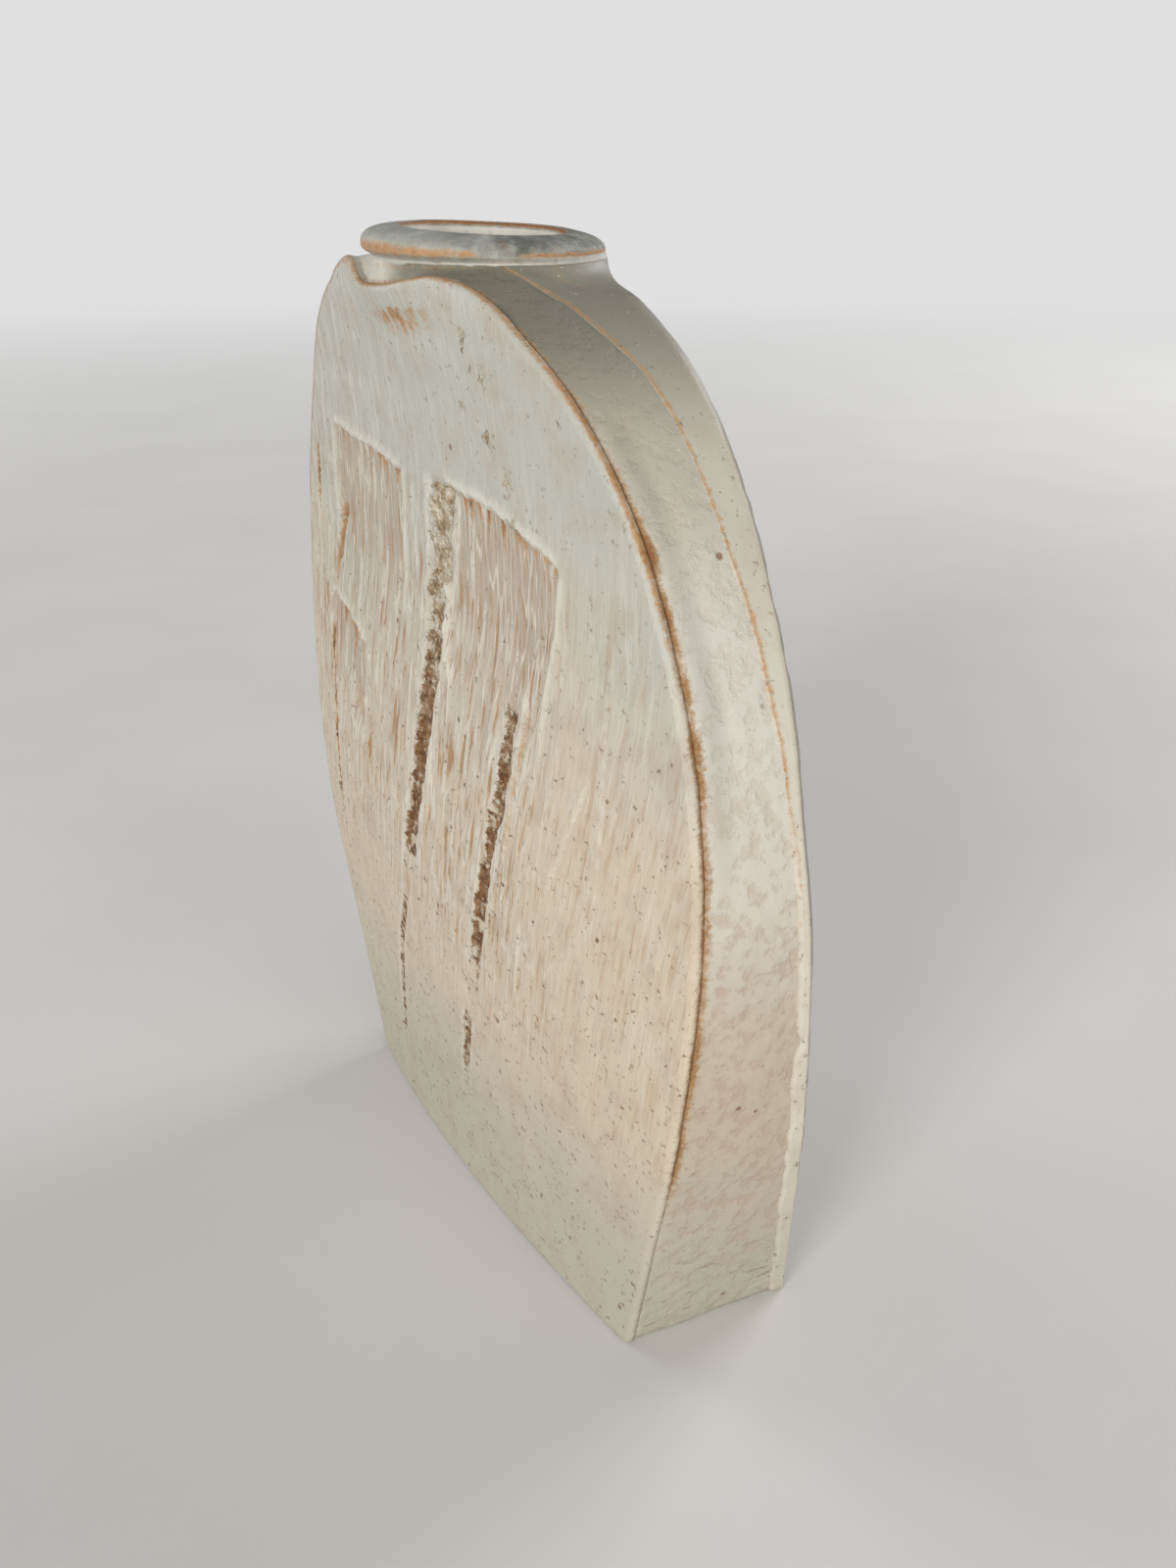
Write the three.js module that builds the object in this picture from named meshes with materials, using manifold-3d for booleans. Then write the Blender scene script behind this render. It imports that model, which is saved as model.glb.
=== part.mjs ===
// Slab vase: two pressed slabs, two side strips, a base slab and a thrown neck collar.
// Millimetres, +Z up. The origin is on the floor, in the middle of the foot from left to right,
// and midway between the rims of the two slabs at the waist. The foot's middle lies behind it.
// -Y is the front slab's side and +X is the right side of someone facing it.

import * as THREE from 'three';
import { mergeVertices } from 'three/addons/utils/BufferGeometryUtils.js';
import Module from 'manifold-3d';

const wasm = await Module();
wasm.setup();

// Clay and fit
const wall = 6.5;
const seamGap = 0.3;
const stripSetBack = 1.6;
const seamMitre = 2.5;
const baseThickness = 6.5;

// Outline of the slabs, seen from the front: half widths and the heights they are at
const footHalfWidth = 87.5;
const lowerHalfWidth = 99;
const lowerHeight = 36;
const waistHalfWidth = 115.5;
const waistHeight = 90;
const bellyHalfWidth = 123;
const bellyHeight = 150;
const upperHalfWidth = 113.5;
const upperHeight = 204;
const shoulderHalfWidth = 96;
const shoulderHeight = 240;
const slopeHalfWidth = 75;
const slopeHeight = 264;
const cornerHalfWidth = 48.5;
const cornerDrop = 4;
const topHalfWidth = 37;
const topHeight = 283;

// Depths, as places along Y: the rim of the front slab, the back seam and the back rim
const frontRimAtFoot = -14;
const frontRimAtBelly = -17.5;
const frontRimAtShoulder = -20;
const frontRimAtSlope = -24.5;
const frontRimAtTop = -29.5;
const seamAtFoot = 35;
const seamAtLower = 27;
const seamAtWaist = 16.5;
const seamAtBelly = 9;
const seamAtUpper = 4;
const seamAtShoulder = 1.5;
const seamAtTop = -8;
const backRimAtFoot = 38;
const backRimAtLower = 30;
const backRimAtWaist = 18.5;
const backRimAtBelly = 10;
const backRimAtUpper = 8;
const backRimAtShoulder = 9;
const backRimAtTop = 8;

// Crowns: how far each slab swells past its rim
const frontCrownAtFoot = 5;
const frontCrownAtBelly = 11;
const frontCrownAtTop = 3;
const backCrownAtFoot = 5;
const backCrownAtBelly = 15;
const backCrownAtTop = 14;

// The side spreads towards the back, and the whole body leans a little to the left
const backFlare = 0.05;
const leanAtTop = -6;

// Neck collar: its throat and mouth, what is added round them, and each ring's height above the body
const neckX = -1;
const neckY = -6;
const throatRadius = 21;
const throatBulge = 0.8;
const throatRise = 4;
const collarFootWidth = 8;
const collarWaistIn = 0.6;
const collarWaistRise = 2;
const mouthRadius = 19.7;
const mouthRise = 8.8;
const crestWidth = 5.5;
const crestHalfWidth = 3;
const crestRise = 10.6;
const crestFall = 0.5;
const lipWidth = 11.5;
const lipUnderCut = 1.2;
const lipUnderRise = 3.6;
const lipEdgeRise = 5.1;
const lipShoulder = 1.8;
const mouthTiltRight = 0.02;
const mouthTiltBack = 0.026;

// How far the side strips' flat tops reach past the throat's side, before the hole is cut
const roofPastHole = 9;

// Mesh steps
const slabColumns = 16;
const stripColumns = 3;
const rimColumns = 2;
const baseRows = 2;
const outlineRows = 36;
const roofRows = 2;
const collarSteps = 48;
const curveSamples = 300;
const weldTolerance = 1e-4;

// A smooth curve through [height, value] pairs
function heightCurve(pairs) {
  const points = pairs.map(([height, value]) => new THREE.Vector3(value, 0, height));
  return new THREE.CatmullRomCurve3(points, false, 'centripetal');
}

// The same curve as a function that gives the value at a height
function alongHeight(pairs) {
  const samples = heightCurve(pairs).getPoints(curveSamples);
  return (height) => {
    const next = samples.findIndex((point, index) => index > 0 && point.z >= height);
    if (next < 0) return samples[samples.length - 1].x;
    const low = samples[next - 1];
    const high = samples[next];
    const share = THREE.MathUtils.clamp((height - low.z) / (high.z - low.z), 0, 1);
    return THREE.MathUtils.lerp(low.x, high.x, share);
  };
}

const outline = [
  [0, footHalfWidth], [lowerHeight, lowerHalfWidth], [waistHeight, waistHalfWidth],
  [bellyHeight, bellyHalfWidth], [upperHeight, upperHalfWidth], [shoulderHeight, shoulderHalfWidth],
  [slopeHeight, slopeHalfWidth], [topHeight - cornerDrop, cornerHalfWidth], [topHeight, topHalfWidth],
];
const outlineCurve = heightCurve(outline);
const halfWidth = alongHeight(outline);
const frontRim = alongHeight([
  [0, frontRimAtFoot], [waistHeight, frontRimAtBelly], [upperHeight, frontRimAtBelly],
  [shoulderHeight, frontRimAtShoulder], [slopeHeight, frontRimAtSlope], [topHeight, frontRimAtTop],
]);
const seam = alongHeight([
  [0, seamAtFoot], [lowerHeight, seamAtLower], [waistHeight, seamAtWaist], [bellyHeight, seamAtBelly],
  [upperHeight, seamAtUpper], [shoulderHeight, seamAtShoulder], [topHeight, seamAtTop],
]);
const backRim = alongHeight([
  [0, backRimAtFoot], [lowerHeight, backRimAtLower], [waistHeight, backRimAtWaist],
  [bellyHeight, backRimAtBelly], [upperHeight, backRimAtUpper], [shoulderHeight, backRimAtShoulder],
  [topHeight, backRimAtTop],
]);
const frontCrown = alongHeight([
  [0, frontCrownAtFoot], [bellyHeight, frontCrownAtBelly], [topHeight, frontCrownAtTop],
]);
const backCrown = alongHeight([
  [0, backCrownAtFoot], [bellyHeight, backCrownAtBelly], [topHeight, backCrownAtTop],
]);

const backHalfWidth = (z) => halfWidth(z) * (1 + backFlare);

// Outer and inner faces of the two slabs, as places along Y
function frontOuterY(x, z) {
  const share = Math.min(1, Math.abs(x) / halfWidth(z));
  return frontRim(z) - frontCrown(z) * (1 - share * share);
}

function backOuterY(x, z) {
  const share = Math.min(1, Math.abs(x) / backHalfWidth(z));
  return backRim(z) + backCrown(z) * Math.sqrt(1 - share * share);
}

const frontInnerY = (x, z) => frontOuterY(x, z) + wall;
const backInnerY = (x, z) => backOuterY(x, z) - wall;

// The back seam's place along Y at a depth in the side wall: it is mitred, so it runs forward inwards
const seamY = (z, depth) => seam(z) - seamMitre * depth / wall;

// A geometry with its shared corners merged, so that it is one closed body
function welded(geometry) {
  geometry.deleteAttribute('normal');
  geometry.deleteAttribute('uv');
  return mergeVertices(geometry, weldTolerance);
}

// A closed body from a grid of cells: pointAt takes shares of the columns, rows and thickness
function gridBody(columns, rows, pointAt) {
  const geometry = new THREE.BoxGeometry(1, 1, 1, columns, rows, 1);
  const position = geometry.attributes.position;
  const point = new THREE.Vector3();
  for (let i = 0; i < position.count; i += 1) {
    point.fromBufferAttribute(position, i).addScalar(0.5);
    position.setXYZ(i, ...pointAt(point.x, point.y, point.z));
  }
  return welded(geometry);
}

function toSolid(geometry) {
  return new wasm.Manifold(new wasm.Mesh({
    numProp: 3,
    vertProperties: new Float32Array(geometry.attributes.position.array),
    triVerts: new Uint32Array(geometry.index.array),
  }));
}

function toGeometry(solid) {
  const mesh = solid.getMesh();
  const geometry = new THREE.BufferGeometry();
  geometry.setAttribute('position', new THREE.BufferAttribute(mesh.vertProperties, 3));
  geometry.setIndex(new THREE.BufferAttribute(mesh.triVerts, 1));
  return geometry;
}

// Swaps two corners of each triangle, so that the faces look the other way
function turnedOut(geometry) {
  const index = geometry.index.array;
  for (let i = 0; i < index.length; i += 3) {
    [index[i], index[i + 1]] = [index[i + 1], index[i]];
  }
  return geometry;
}

const mirrored = (geometry) => turnedOut(geometry.clone().scale(-1, 1, 1));

// The body's small lean to the left, which grows with the height
function leaning(geometry) {
  const position = geometry.attributes.position;
  for (let i = 0; i < position.count; i += 1) {
    position.setX(i, position.getX(i) + leanAtTop * position.getZ(i) / topHeight);
  }
  return geometry;
}

// Stations along the side, from the foot over the shoulder to the neck hole, each with its normal
function sideStations() {
  const list = [];
  for (let i = 0; i <= outlineRows; i += 1) {
    const place = outlineCurve.getPointAt(i / outlineRows);
    const tangent = outlineCurve.getTangentAt(i / outlineRows);
    list.push({ x: place.x, z: place.z, nx: tangent.z, nz: -tangent.x, roof: false });
  }
  for (let i = 1; i <= roofRows; i += 1) {
    const x = THREE.MathUtils.lerp(topHalfWidth, throatRadius - roofPastHole, i / roofRows);
    list.push({ x, z: topHeight, nx: 0, nz: 1, roof: true });
  }
  return list;
}

const stations = sideStations();

// A point of the side wall at a depth below the outline, moved out by the flare at its place along Y
function sidePoint(station, depth, y) {
  const z = station === stations[0] ? 0 : station.z - station.nz * depth;
  const share = THREE.MathUtils.clamp((y - frontRim(z)) / (backRim(z) - frontRim(z)), 0, 1);
  const x = (station.x - station.nx * depth) * (1 + backFlare * share);
  return [x, y, z];
}

// A run of the right side wall between two places along Y, each given for a place and a depth
function sideWall(columns, outerDepth, frontY, backY) {
  const rows = stations.length - 1;
  return gridBody(columns, rows, (across, along, outward) => {
    const station = stations[Math.round(along * rows)];
    const shallow = station.roof ? 0 : outerDepth;
    const depth = outward > 0.5 ? shallow : outerDepth + wall;
    const [, , z] = sidePoint(station, depth, 0);
    const [frontX] = sidePoint(station, depth, frontRim(z) + wall);
    const [backX] = sidePoint(station, depth, backRim(z));
    const y = THREE.MathUtils.lerp(frontY(frontX, z, depth), backY(backX, z, depth), across);
    return sidePoint(station, depth, y);
  });
}

function sideStrip() {
  return sideWall(
    stripColumns,
    stripSetBack,
    (x, z) => frontInnerY(x, z) + seamGap,
    (x, z, depth) => seamY(z, depth) - seamGap,
  );
}

// The back slab's rim, folded forward over the side as far as the seam, with a sloping back edge
function foldedRim() {
  return sideWall(
    rimColumns,
    0,
    (x, z, depth) => seamY(z, depth),
    (x, z, depth) => (depth > 0 ? backOuterY(x, z) - seamGap : backRim(z)),
  );
}

function frontPlate() {
  return gridBody(slabColumns, outlineRows, (across, along, front) => {
    const z = outlineCurve.getPointAt(along).z;
    const x = (across * 2 - 1) * halfWidth(z);
    const y = front > 0.5 ? frontOuterY(x, z) : frontInnerY(x, z);
    return [x, y, z];
  });
}

// The back slab's main face, whose edge lies inside its folded rim
function backPlate() {
  const edgeInset = wall - 2 * seamGap;
  return gridBody(slabColumns, outlineRows, (across, along, front) => {
    const z = outlineCurve.getPointAt(along).z;
    const x = Math.sin((across - 0.5) * Math.PI) * (backHalfWidth(z) - edgeInset);
    const y = front > 0.5 ? backInnerY(x, z) : backOuterY(x, z);
    return [x, y, z];
  });
}

// The base lies inside the walls and rests on the same floor
function basePlate() {
  const halfX = footHalfWidth - stripSetBack - wall - seamGap;
  return gridBody(slabColumns, baseRows, (across, along, front) => {
    const z = along * baseThickness;
    const frontX = (across * 2 - 1) * halfX;
    const backX = frontX * (1 + backFlare);
    return front > 0.5
      ? [frontX, frontInnerY(frontX, z) + seamGap, z]
      : [backX, backInnerY(backX, z) - seamGap, z];
  });
}

// The hole in the body's flat top, with room above and below it
function neckHole() {
  const depth = (stripSetBack + wall) * 4;
  const geometry = new THREE.CylinderGeometry(throatRadius, throatRadius, depth, collarSteps);
  geometry.rotateX(Math.PI / 2).translate(neckX, neckY, topHeight);
  return toSolid(welded(geometry));
}

// The collar's base is level, and its lip is tilted as a whole
function collar() {
  const footRadius = throatRadius + collarFootWidth;
  const lipRadius = mouthRadius + lipWidth;
  const crestRadius = mouthRadius + crestWidth;
  const profile = [
    [throatRadius, 0], [footRadius, 0], [footRadius - collarWaistIn, collarWaistRise],
    [lipRadius - lipUnderCut, lipUnderRise], [lipRadius, lipEdgeRise],
    [lipRadius - lipShoulder, (lipEdgeRise + crestRise) / 2],
    [crestRadius + crestHalfWidth, crestRise - crestFall], [crestRadius, crestRise],
    [crestRadius - crestHalfWidth, crestRise - crestFall], [mouthRadius, mouthRise],
    [mouthRadius, (mouthRise + throatRise) / 2], [throatRadius - throatBulge, throatRise],
    [throatRadius, 0],
  ];
  const points = profile.map(([radius, rise]) => new THREE.Vector2(radius, rise));
  const geometry = welded(new THREE.LatheGeometry(points, collarSteps).rotateX(Math.PI / 2));
  const position = geometry.attributes.position;
  for (let i = 0; i < position.count; i += 1) {
    const share = position.getZ(i) / crestRise;
    const tilt = position.getX(i) * mouthTiltRight + position.getY(i) * mouthTiltBack;
    position.setZ(i, position.getZ(i) - tilt * share);
  }
  return geometry.translate(neckX, neckY, topHeight + seamGap);
}

const glazes = {
  cream: { color: 0xcfc6b4, roughness: 0.55, metalness: 0 },
  pinkish: { color: 0xc9bdb2, roughness: 0.55, metalness: 0 },
  greyWhite: { color: 0xc4c6bd, roughness: 0.5, metalness: 0 },
  clay: { color: 0x9a8a76, roughness: 0.85, metalness: 0 },
};

function piece(name, geometry, glaze) {
  const mesh = new THREE.Mesh(geometry, new THREE.MeshStandardMaterial(glaze));
  mesh.name = name;
  return mesh;
}

const hole = neckHole();
const cutByHole = (geometry) => toGeometry(toSolid(leaning(geometry)).subtract(hole));

function backSlab() {
  const rightRim = toSolid(leaning(foldedRim()));
  const leftRim = toSolid(leaning(mirrored(foldedRim())));
  const plate = toSolid(leaning(backPlate()));
  return toGeometry(plate.add(rightRim).add(leftRim).subtract(hole));
}

const vase = new THREE.Group();
vase.add(piece('base_slab', leaning(basePlate()), glazes.clay));
vase.add(piece('front_slab', cutByHole(frontPlate()), glazes.cream));
vase.add(piece('back_slab', backSlab(), glazes.cream));
vase.add(piece('right_side_strip', cutByHole(sideStrip()), glazes.pinkish));
vase.add(piece('left_side_strip', cutByHole(mirrored(sideStrip())), glazes.pinkish));
vase.add(piece('neck_collar', collar(), glazes.greyWhite));

export default vase;
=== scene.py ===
"""Slab vase: the visual model of a hand-built stoneware vase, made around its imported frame."""

import bisect
import math

import bmesh
import bpy
from mathutils import Matrix, Vector, noise
from mathutils.geometry import interpolate_bezier


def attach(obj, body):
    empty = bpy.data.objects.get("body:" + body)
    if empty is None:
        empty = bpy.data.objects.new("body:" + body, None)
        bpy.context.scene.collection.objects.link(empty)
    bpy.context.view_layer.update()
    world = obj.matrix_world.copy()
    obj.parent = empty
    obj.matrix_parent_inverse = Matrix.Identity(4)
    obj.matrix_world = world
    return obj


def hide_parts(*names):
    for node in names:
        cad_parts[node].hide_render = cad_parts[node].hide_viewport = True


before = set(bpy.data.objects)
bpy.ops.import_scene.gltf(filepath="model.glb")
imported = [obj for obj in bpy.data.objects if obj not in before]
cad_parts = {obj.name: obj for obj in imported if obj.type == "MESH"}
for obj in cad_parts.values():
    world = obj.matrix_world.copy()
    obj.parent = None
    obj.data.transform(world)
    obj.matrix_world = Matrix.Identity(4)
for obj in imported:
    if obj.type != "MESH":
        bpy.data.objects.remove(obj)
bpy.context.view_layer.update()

bl_info = {
    "name": "Slab Vase",
    "version": (1, 0, 0),
    "blender": (4, 5, 0),
    "location": "3D View > Sidebar > Vase",
    "description": "Builds a hand-built slab vase with its ash glaze",
    "category": "Add Mesh",
}

# Lengths in the shape functions are millimetres, and this turns them into Blender's metres
MM = 0.001

# The slabs' outline from the front, as (half width, height)
OUTLINE = [
    (87.5, 0), (99, 36), (115.5, 90), (123, 150), (113.5, 204),
    (96, 240), (75, 264), (48.5, 279), (37, 283),
]
FOOT_HALF_WIDTH = OUTLINE[0][0]
TOP_HALF_WIDTH, TOP_HEIGHT = OUTLINE[-1]
BELLY_HEIGHT = 150
LEAN_AT_TOP = -6
BACK_FLARE = 0.05
WALL = 6.5

# Places of the rims and the seam along Y, as (place, height)
FRONT_RIM = [(-14, 0), (-17.5, 90), (-17.5, 204), (-20, 240), (-24.5, 264), (-29.5, 283)]
SEAM = [
    (35, 0), (27, 36), (16.5, 90), (9, 150), (4, 204),
    (1.5, 240), (-2.5, 268), (-7.5, 278.5), (-11, 283),
]
BACK_RIM = [(38, 0), (30, 36), (18.5, 90), (10, 150), (8, 204), (9, 240), (8, 283)]

# How far the slabs swell past their rims, as (swell, height)
FRONT_CROWN = [(5, 0), (11, 150), (3, 283)]
BACK_CROWN = [(5, 0), (15, 150), (14, 283)]

# The strips: their thickness, and how far their edges reach in behind the front rim and under the fold
STRIP_THICKNESS = 5.5
FRONT_TUCK = 2.9
SEAM_TUCK = 2.5

# The neck: its axis, and the ring where the shoulders meet it. Bearings turn from the front to the right
NECK_X = -1
NECK_Y = -6
RING_RADIUS = 30
RING_SHIFT = 2
RING_HEIGHT = 286
RING_LIFT = 1.9
LIFT_BEARING = -72
SEAM_BEARING = 72
FRONT_BEARING = -3

# The half width at which the shoulders end, and how much of the strips' way to the neck follows the seam
SHOULDER_END = 50
FAN_TURN = 0.34

# The strips on their way to the neck: their thickness, and the height that sets their glaze and relief
FAN_THICKNESS = 2.2
FAN_HEIGHT = 275

# The crest of the front slab's top edge, which dips in front of the neck, as (x, height)
CREST = [
    (-60, 276.6), (-53, 280.4), (-46, 283.4), (-40, 284.9), (-35, 285.4), (-31, 284.9),
    (-28, 283), (-25.5, 281.2), (-20, 280.1), (-10, 280.3), (4, 281.2), (14, 282.8),
    (22, 283.8), (29, 283.4), (35, 282.4), (41, 280.6), (47, 278.2), (53, 275),
]
RIDGE_STEPS = 8
CREST_REACH = 57
CREST_BULGE = 3.9
CREST_BULGE_X = 4
CREST_BULGE_WIDTH = 25


def smooth_run(points, steps=16):
    """Points along a smooth curve through the given ones."""
    knots = [Vector(point) for point in points]
    tangents = []
    for i, knot in enumerate(knots):
        behind = knot - knots[i - 1] if i > 0 else knots[1] - knot
        ahead = knots[i + 1] - knot if i + 1 < len(knots) else behind
        total = behind.length + ahead.length
        behind_share = ahead.length / total
        ahead_share = behind.length / total
        tangents.append(behind.normalized() * behind_share + ahead.normalized() * ahead_share)
    run = [knots[0]]
    for i in range(len(knots) - 1):
        reach = (knots[i + 1] - knots[i]).length / 3
        start = knots[i] + tangents[i] * reach
        end = knots[i + 1] - tangents[i + 1] * reach
        run.extend(interpolate_bezier(knots[i], start, end, knots[i + 1], steps)[1:])
    return [point.xy for point in run]


class ValueCurve:
    """A value that changes smoothly along a rising second number, such as height."""

    def __init__(self, pairs, smooth=True):
        run = smooth_run(pairs) if smooth else [Vector(pair) for pair in pairs]
        self.places = [point.y for point in run]
        self.values = [point.x for point in run]

    def __call__(self, place):
        i = min(max(bisect.bisect_right(self.places, place), 1), len(self.places) - 1)
        low, high = self.places[i - 1], self.places[i]
        share = min(max((place - low) / (high - low), 0), 1)
        return self.values[i - 1] + (self.values[i] - self.values[i - 1]) * share


class OutlineRun:
    """The outline by its own length: a point, and the direction that looks out of it."""

    def __init__(self, points):
        self.points = smooth_run(points)
        self.lengths = [0]
        for before, after in zip(self.points, self.points[1:]):
            self.lengths.append(self.lengths[-1] + (after - before).length)

    def at(self, length):
        i = min(max(bisect.bisect_right(self.lengths, length), 1), len(self.lengths) - 1)
        before, after = self.points[i - 1], self.points[i]
        share = (length - self.lengths[i - 1]) / (self.lengths[i] - self.lengths[i - 1])
        tangent = (after - before).normalized()
        return before.lerp(after, min(max(share, 0), 1)), Vector((tangent.y, -tangent.x))

    def length_where(self, half_width):
        """The length at which the outline narrows to this half width, above the belly."""
        for i in range(len(self.points) - 1, 0, -1):
            if self.points[i - 1].x >= half_width:
                return self.lengths[i]
        return self.lengths[-1]


outline = OutlineRun(OUTLINE)
upper_points = [point for point in reversed(outline.points) if point.y > BELLY_HEIGHT]
front_rim = ValueCurve(FRONT_RIM)
seam_place = ValueCurve(SEAM)
back_rim = ValueCurve(BACK_RIM)
front_crown = ValueCurve(FRONT_CROWN)
back_crown = ValueCurve(BACK_CROWN)
crest_height = ValueCurve([(height, x) for x, height in CREST])
upper_outline = ValueCurve([(point.y, point.x) for point in upper_points], smooth=False)


def ease(low, high, value):
    share = min(max((value - low) / (high - low), 0), 1)
    return share * share * (3 - 2 * share)


def mix(a, b, share):
    return a + (b - a) * share


def bell(gap, width):
    """Falls smoothly from 1 at no gap towards 0 past this width."""
    return math.exp(-(gap / width) ** 2)


def upper_share(z):
    """From 0 up to the belly to 1 from the shoulders on."""
    return ease(120, 200, z)


def grain(x, y, z, seed=0):
    """Smooth noise from about -1 to 1 at a place."""
    return noise.noise(Vector((x + seed * 17.3, y - seed * 9.1, z + seed * 5.7)))


def hermite(start, start_way, end, end_way, share):
    """A point on the smooth curve that leaves start along start_way and reaches end along end_way."""
    s2 = share * share
    s3 = s2 * share
    return (
        start * (2 * s3 - 3 * s2 + 1) + start_way * (s3 - 2 * s2 + share)
        + end * (3 * s2 - 2 * s3) + end_way * (s3 - s2)
    )


def lean_at(z):
    """How far the body has leant to its left at a height."""
    return LEAN_AT_TOP * z / TOP_HEIGHT


def leaned(point):
    return Vector((point.x + lean_at(point.z), point.y, point.z))


def unleaned(point):
    return Vector((point.x - lean_at(point.z), point.y, point.z))


def hand_wobble(point, amount):
    """Moves a place by the slow unevenness of hand-pressed clay, and leaves the foot on the floor."""
    far = point / 55
    move = Vector([grain(*far, seed) for seed in (1, 2, 3)])
    hold = ease(0, 25, point.z)
    return point + Vector((move.x, move.y, move.z * hold)) * amount


class Spot:
    """One place on a piece: where it is, which way is out, and its glaze masks."""

    __slots__ = ("place", "out", "masks")

    def __init__(self, place, out, masks=None):
        self.place = place
        self.out = out
        self.masks = masks or {}


MASKS = ("rust", "pool", "iron", "comb", "thick_glaze_and_shade", "scrape", "flow")

# How strongly the thick-glaze-and-shade mask covers the inner faces and the back: white thick glaze on the
# slabs, grey painted shade on the strips' inner faces
INNER_THICK = 0.3
BACK_THICK = 0.2


def raise_mask(masks, name, value):
    """Lifts a glaze mask to a value, if it is lower."""
    masks[name] = max(masks.get(name, 0), value)


def inner_face(outer, count, thickness):
    """Spots of a wall's inner face, from under the last spot of its outer face back to the first."""
    last = len(outer) - 1
    inner = []
    for i in range(count + 1):
        spot = outer[round((1 - i / count) * last)]
        inner.append(Spot(spot.place - spot.out * thickness, -spot.out, {"thick_glaze_and_shade": INNER_THICK}))
    return inner


# Corners that lie this close together, in metres, become one
MERGE_DISTANCE = 0.000002


def closed_piece(name, rows, wobble):
    """A closed mesh from rows of spots: each row is a loop, and the first and last rows are capped."""
    around = len(rows[0])
    along = len(rows) - 1
    bm = bmesh.new()
    bmesh.ops.create_grid(bm, x_segments=around, y_segments=along, size=0.5)
    layers = mask_layers(bm)
    for vert in bm.verts:
        column = round((vert.co.x + 0.5) * around) % around
        row = round((vert.co.y + 0.5) * along)
        spot = rows[row][column]
        vert.co = hand_wobble(leaned(spot.place), wobble) * MM
        write_masks(vert, layers, spot.masks)
    bmesh.ops.remove_doubles(bm, verts=bm.verts, dist=MERGE_DISTANCE)
    edges = [edge for edge in bm.edges if edge.is_boundary]
    caps = bmesh.ops.holes_fill(bm, edges=edges, sides=0)["faces"]
    bmesh.ops.triangulate(bm, faces=caps, quad_method="BEAUTY", ngon_method="BEAUTY")
    bmesh.ops.recalc_face_normals(bm, faces=bm.faces)
    return finished(name, bm)


def mask_layers(bm):
    return {mask: bm.verts.layers.float.new(mask) for mask in MASKS}


def write_masks(vert, layers, masks):
    for mask, value in masks.items():
        vert[layers[mask]] = value


def finished(name, bm):
    """Turns the mesh into an object with smooth faces, in the scene."""
    mesh = bpy.data.meshes.new(name)
    bm.to_mesh(mesh)
    bm.free()
    mesh.shade_smooth()
    piece = bpy.data.objects.new(name, mesh)
    bpy.context.scene.collection.objects.link(piece)
    return piece


def stand_for(piece, node, material):
    """Puts the piece in the place of a node of the frame."""
    piece.data.materials.append(material)
    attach(piece, "root")
    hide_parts(node)


# The rounding of the foot, as (height, how far the wall is drawn in)
FOOT_ROUNDING = [(0, 1.1), (0.12, 0.6), (0.4, 0.25), (1.1, 0)]
FIRST_LENGTH = 2


def rising_rows(row_at, end, count):
    """Rows of spots from the foot up to a length of the outline, with the foot's rounding below them."""
    rows = []
    for height, inset in FOOT_ROUNDING:
        row = row_at(0)
        for spot in row:
            spot.place -= spot.out * inset
            spot.place.z = height
        rows.append(row)
    rows.extend(row_at(mix(FIRST_LENGTH, end, i / count)) for i in range(count + 1))
    return rows


def station(length):
    """Half width, height and the way out at a length of the outline. The way out is level at the foot."""
    place, out = outline.at(length)
    level = ease(0, 14, place.y)
    out = Vector((out.x, out.y * level)).normalized()
    top = ease(outline.lengths[-1] - 7, outline.lengths[-1], length)
    return place, out.lerp(Vector((0, 1)), top).normalized()


# The front slab

class Stroke:
    """A tool mark on a face: a path of (x, z), half widths at its ends, its depth and its glaze."""

    def __init__(self, path, start, end, depth, iron, burr, fade, seed, rust=0.0):
        self.run = smooth_run(path, 6)
        self.start = start
        self.end = end
        self.depth = depth
        self.iron = iron
        self.rust = rust
        self.burr = burr
        self.fade = fade
        self.seed = seed
        reach = max(start, end) * 2 + 2
        self.low = Vector((min(p.x for p in self.run) - reach, min(p.y for p in self.run) - reach))
        self.high = Vector((max(p.x for p in self.run) + reach, max(p.y for p in self.run) + reach))

    def near(self, x, z):
        return self.low.x < x < self.high.x and self.low.y < z < self.high.y

    def measure(self, x, z):
        """How far across the stroke the place is, in half widths, and how far along it."""
        best = None
        last = len(self.run) - 1
        for i in range(last):
            a, b = self.run[i], self.run[i + 1]
            way = b - a
            share = min(max((Vector((x, z)) - a).dot(way) / way.length_squared, 0), 1)
            gap = (Vector((x, z)) - (a + way * share)).length
            if best is None or gap < best[0]:
                best = (gap, (i + share) / last)
        gap, along = best
        ragged = 1 + 0.28 * grain(x / 3, 0, z / 5, self.seed) + 0.15 * grain(x, 0, z / 1.5, self.seed)
        return gap / (mix(self.start, self.end, along) * ragged), along

    def apply(self, x, z, masks):
        """The height that the stroke adds at a place, with its glaze added to the masks."""
        if not self.near(x, z):
            return 0
        across, along = self.measure(x, z)
        if across > 1.9:
            return 0
        fading = ease(0, self.fade * 0.22, along) * ease(0, self.fade, 1 - along)
        trough = max(0, 1 - across ** 3)
        edge = bell(across - 1.2, 0.25)
        if self.rust:
            fill = ease(1.3, 0.4, across) * fading * self.rust
            raise_mask(masks, "rust", fill * (0.8 + 0.5 * grain(x / 4, 6, z / 6, self.seed)))
        if self.iron:
            patchy = 0.85 + 0.7 * grain(x / 4, 3, z / 5, self.seed)
            raise_mask(masks, "iron", ease(1.15, 0.6, across) * fading * self.iron * patchy)
        raise_mask(masks, "thick_glaze_and_shade", edge * fading * 0.7)
        return (edge * self.burr - trough * self.depth) * fading


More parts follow.
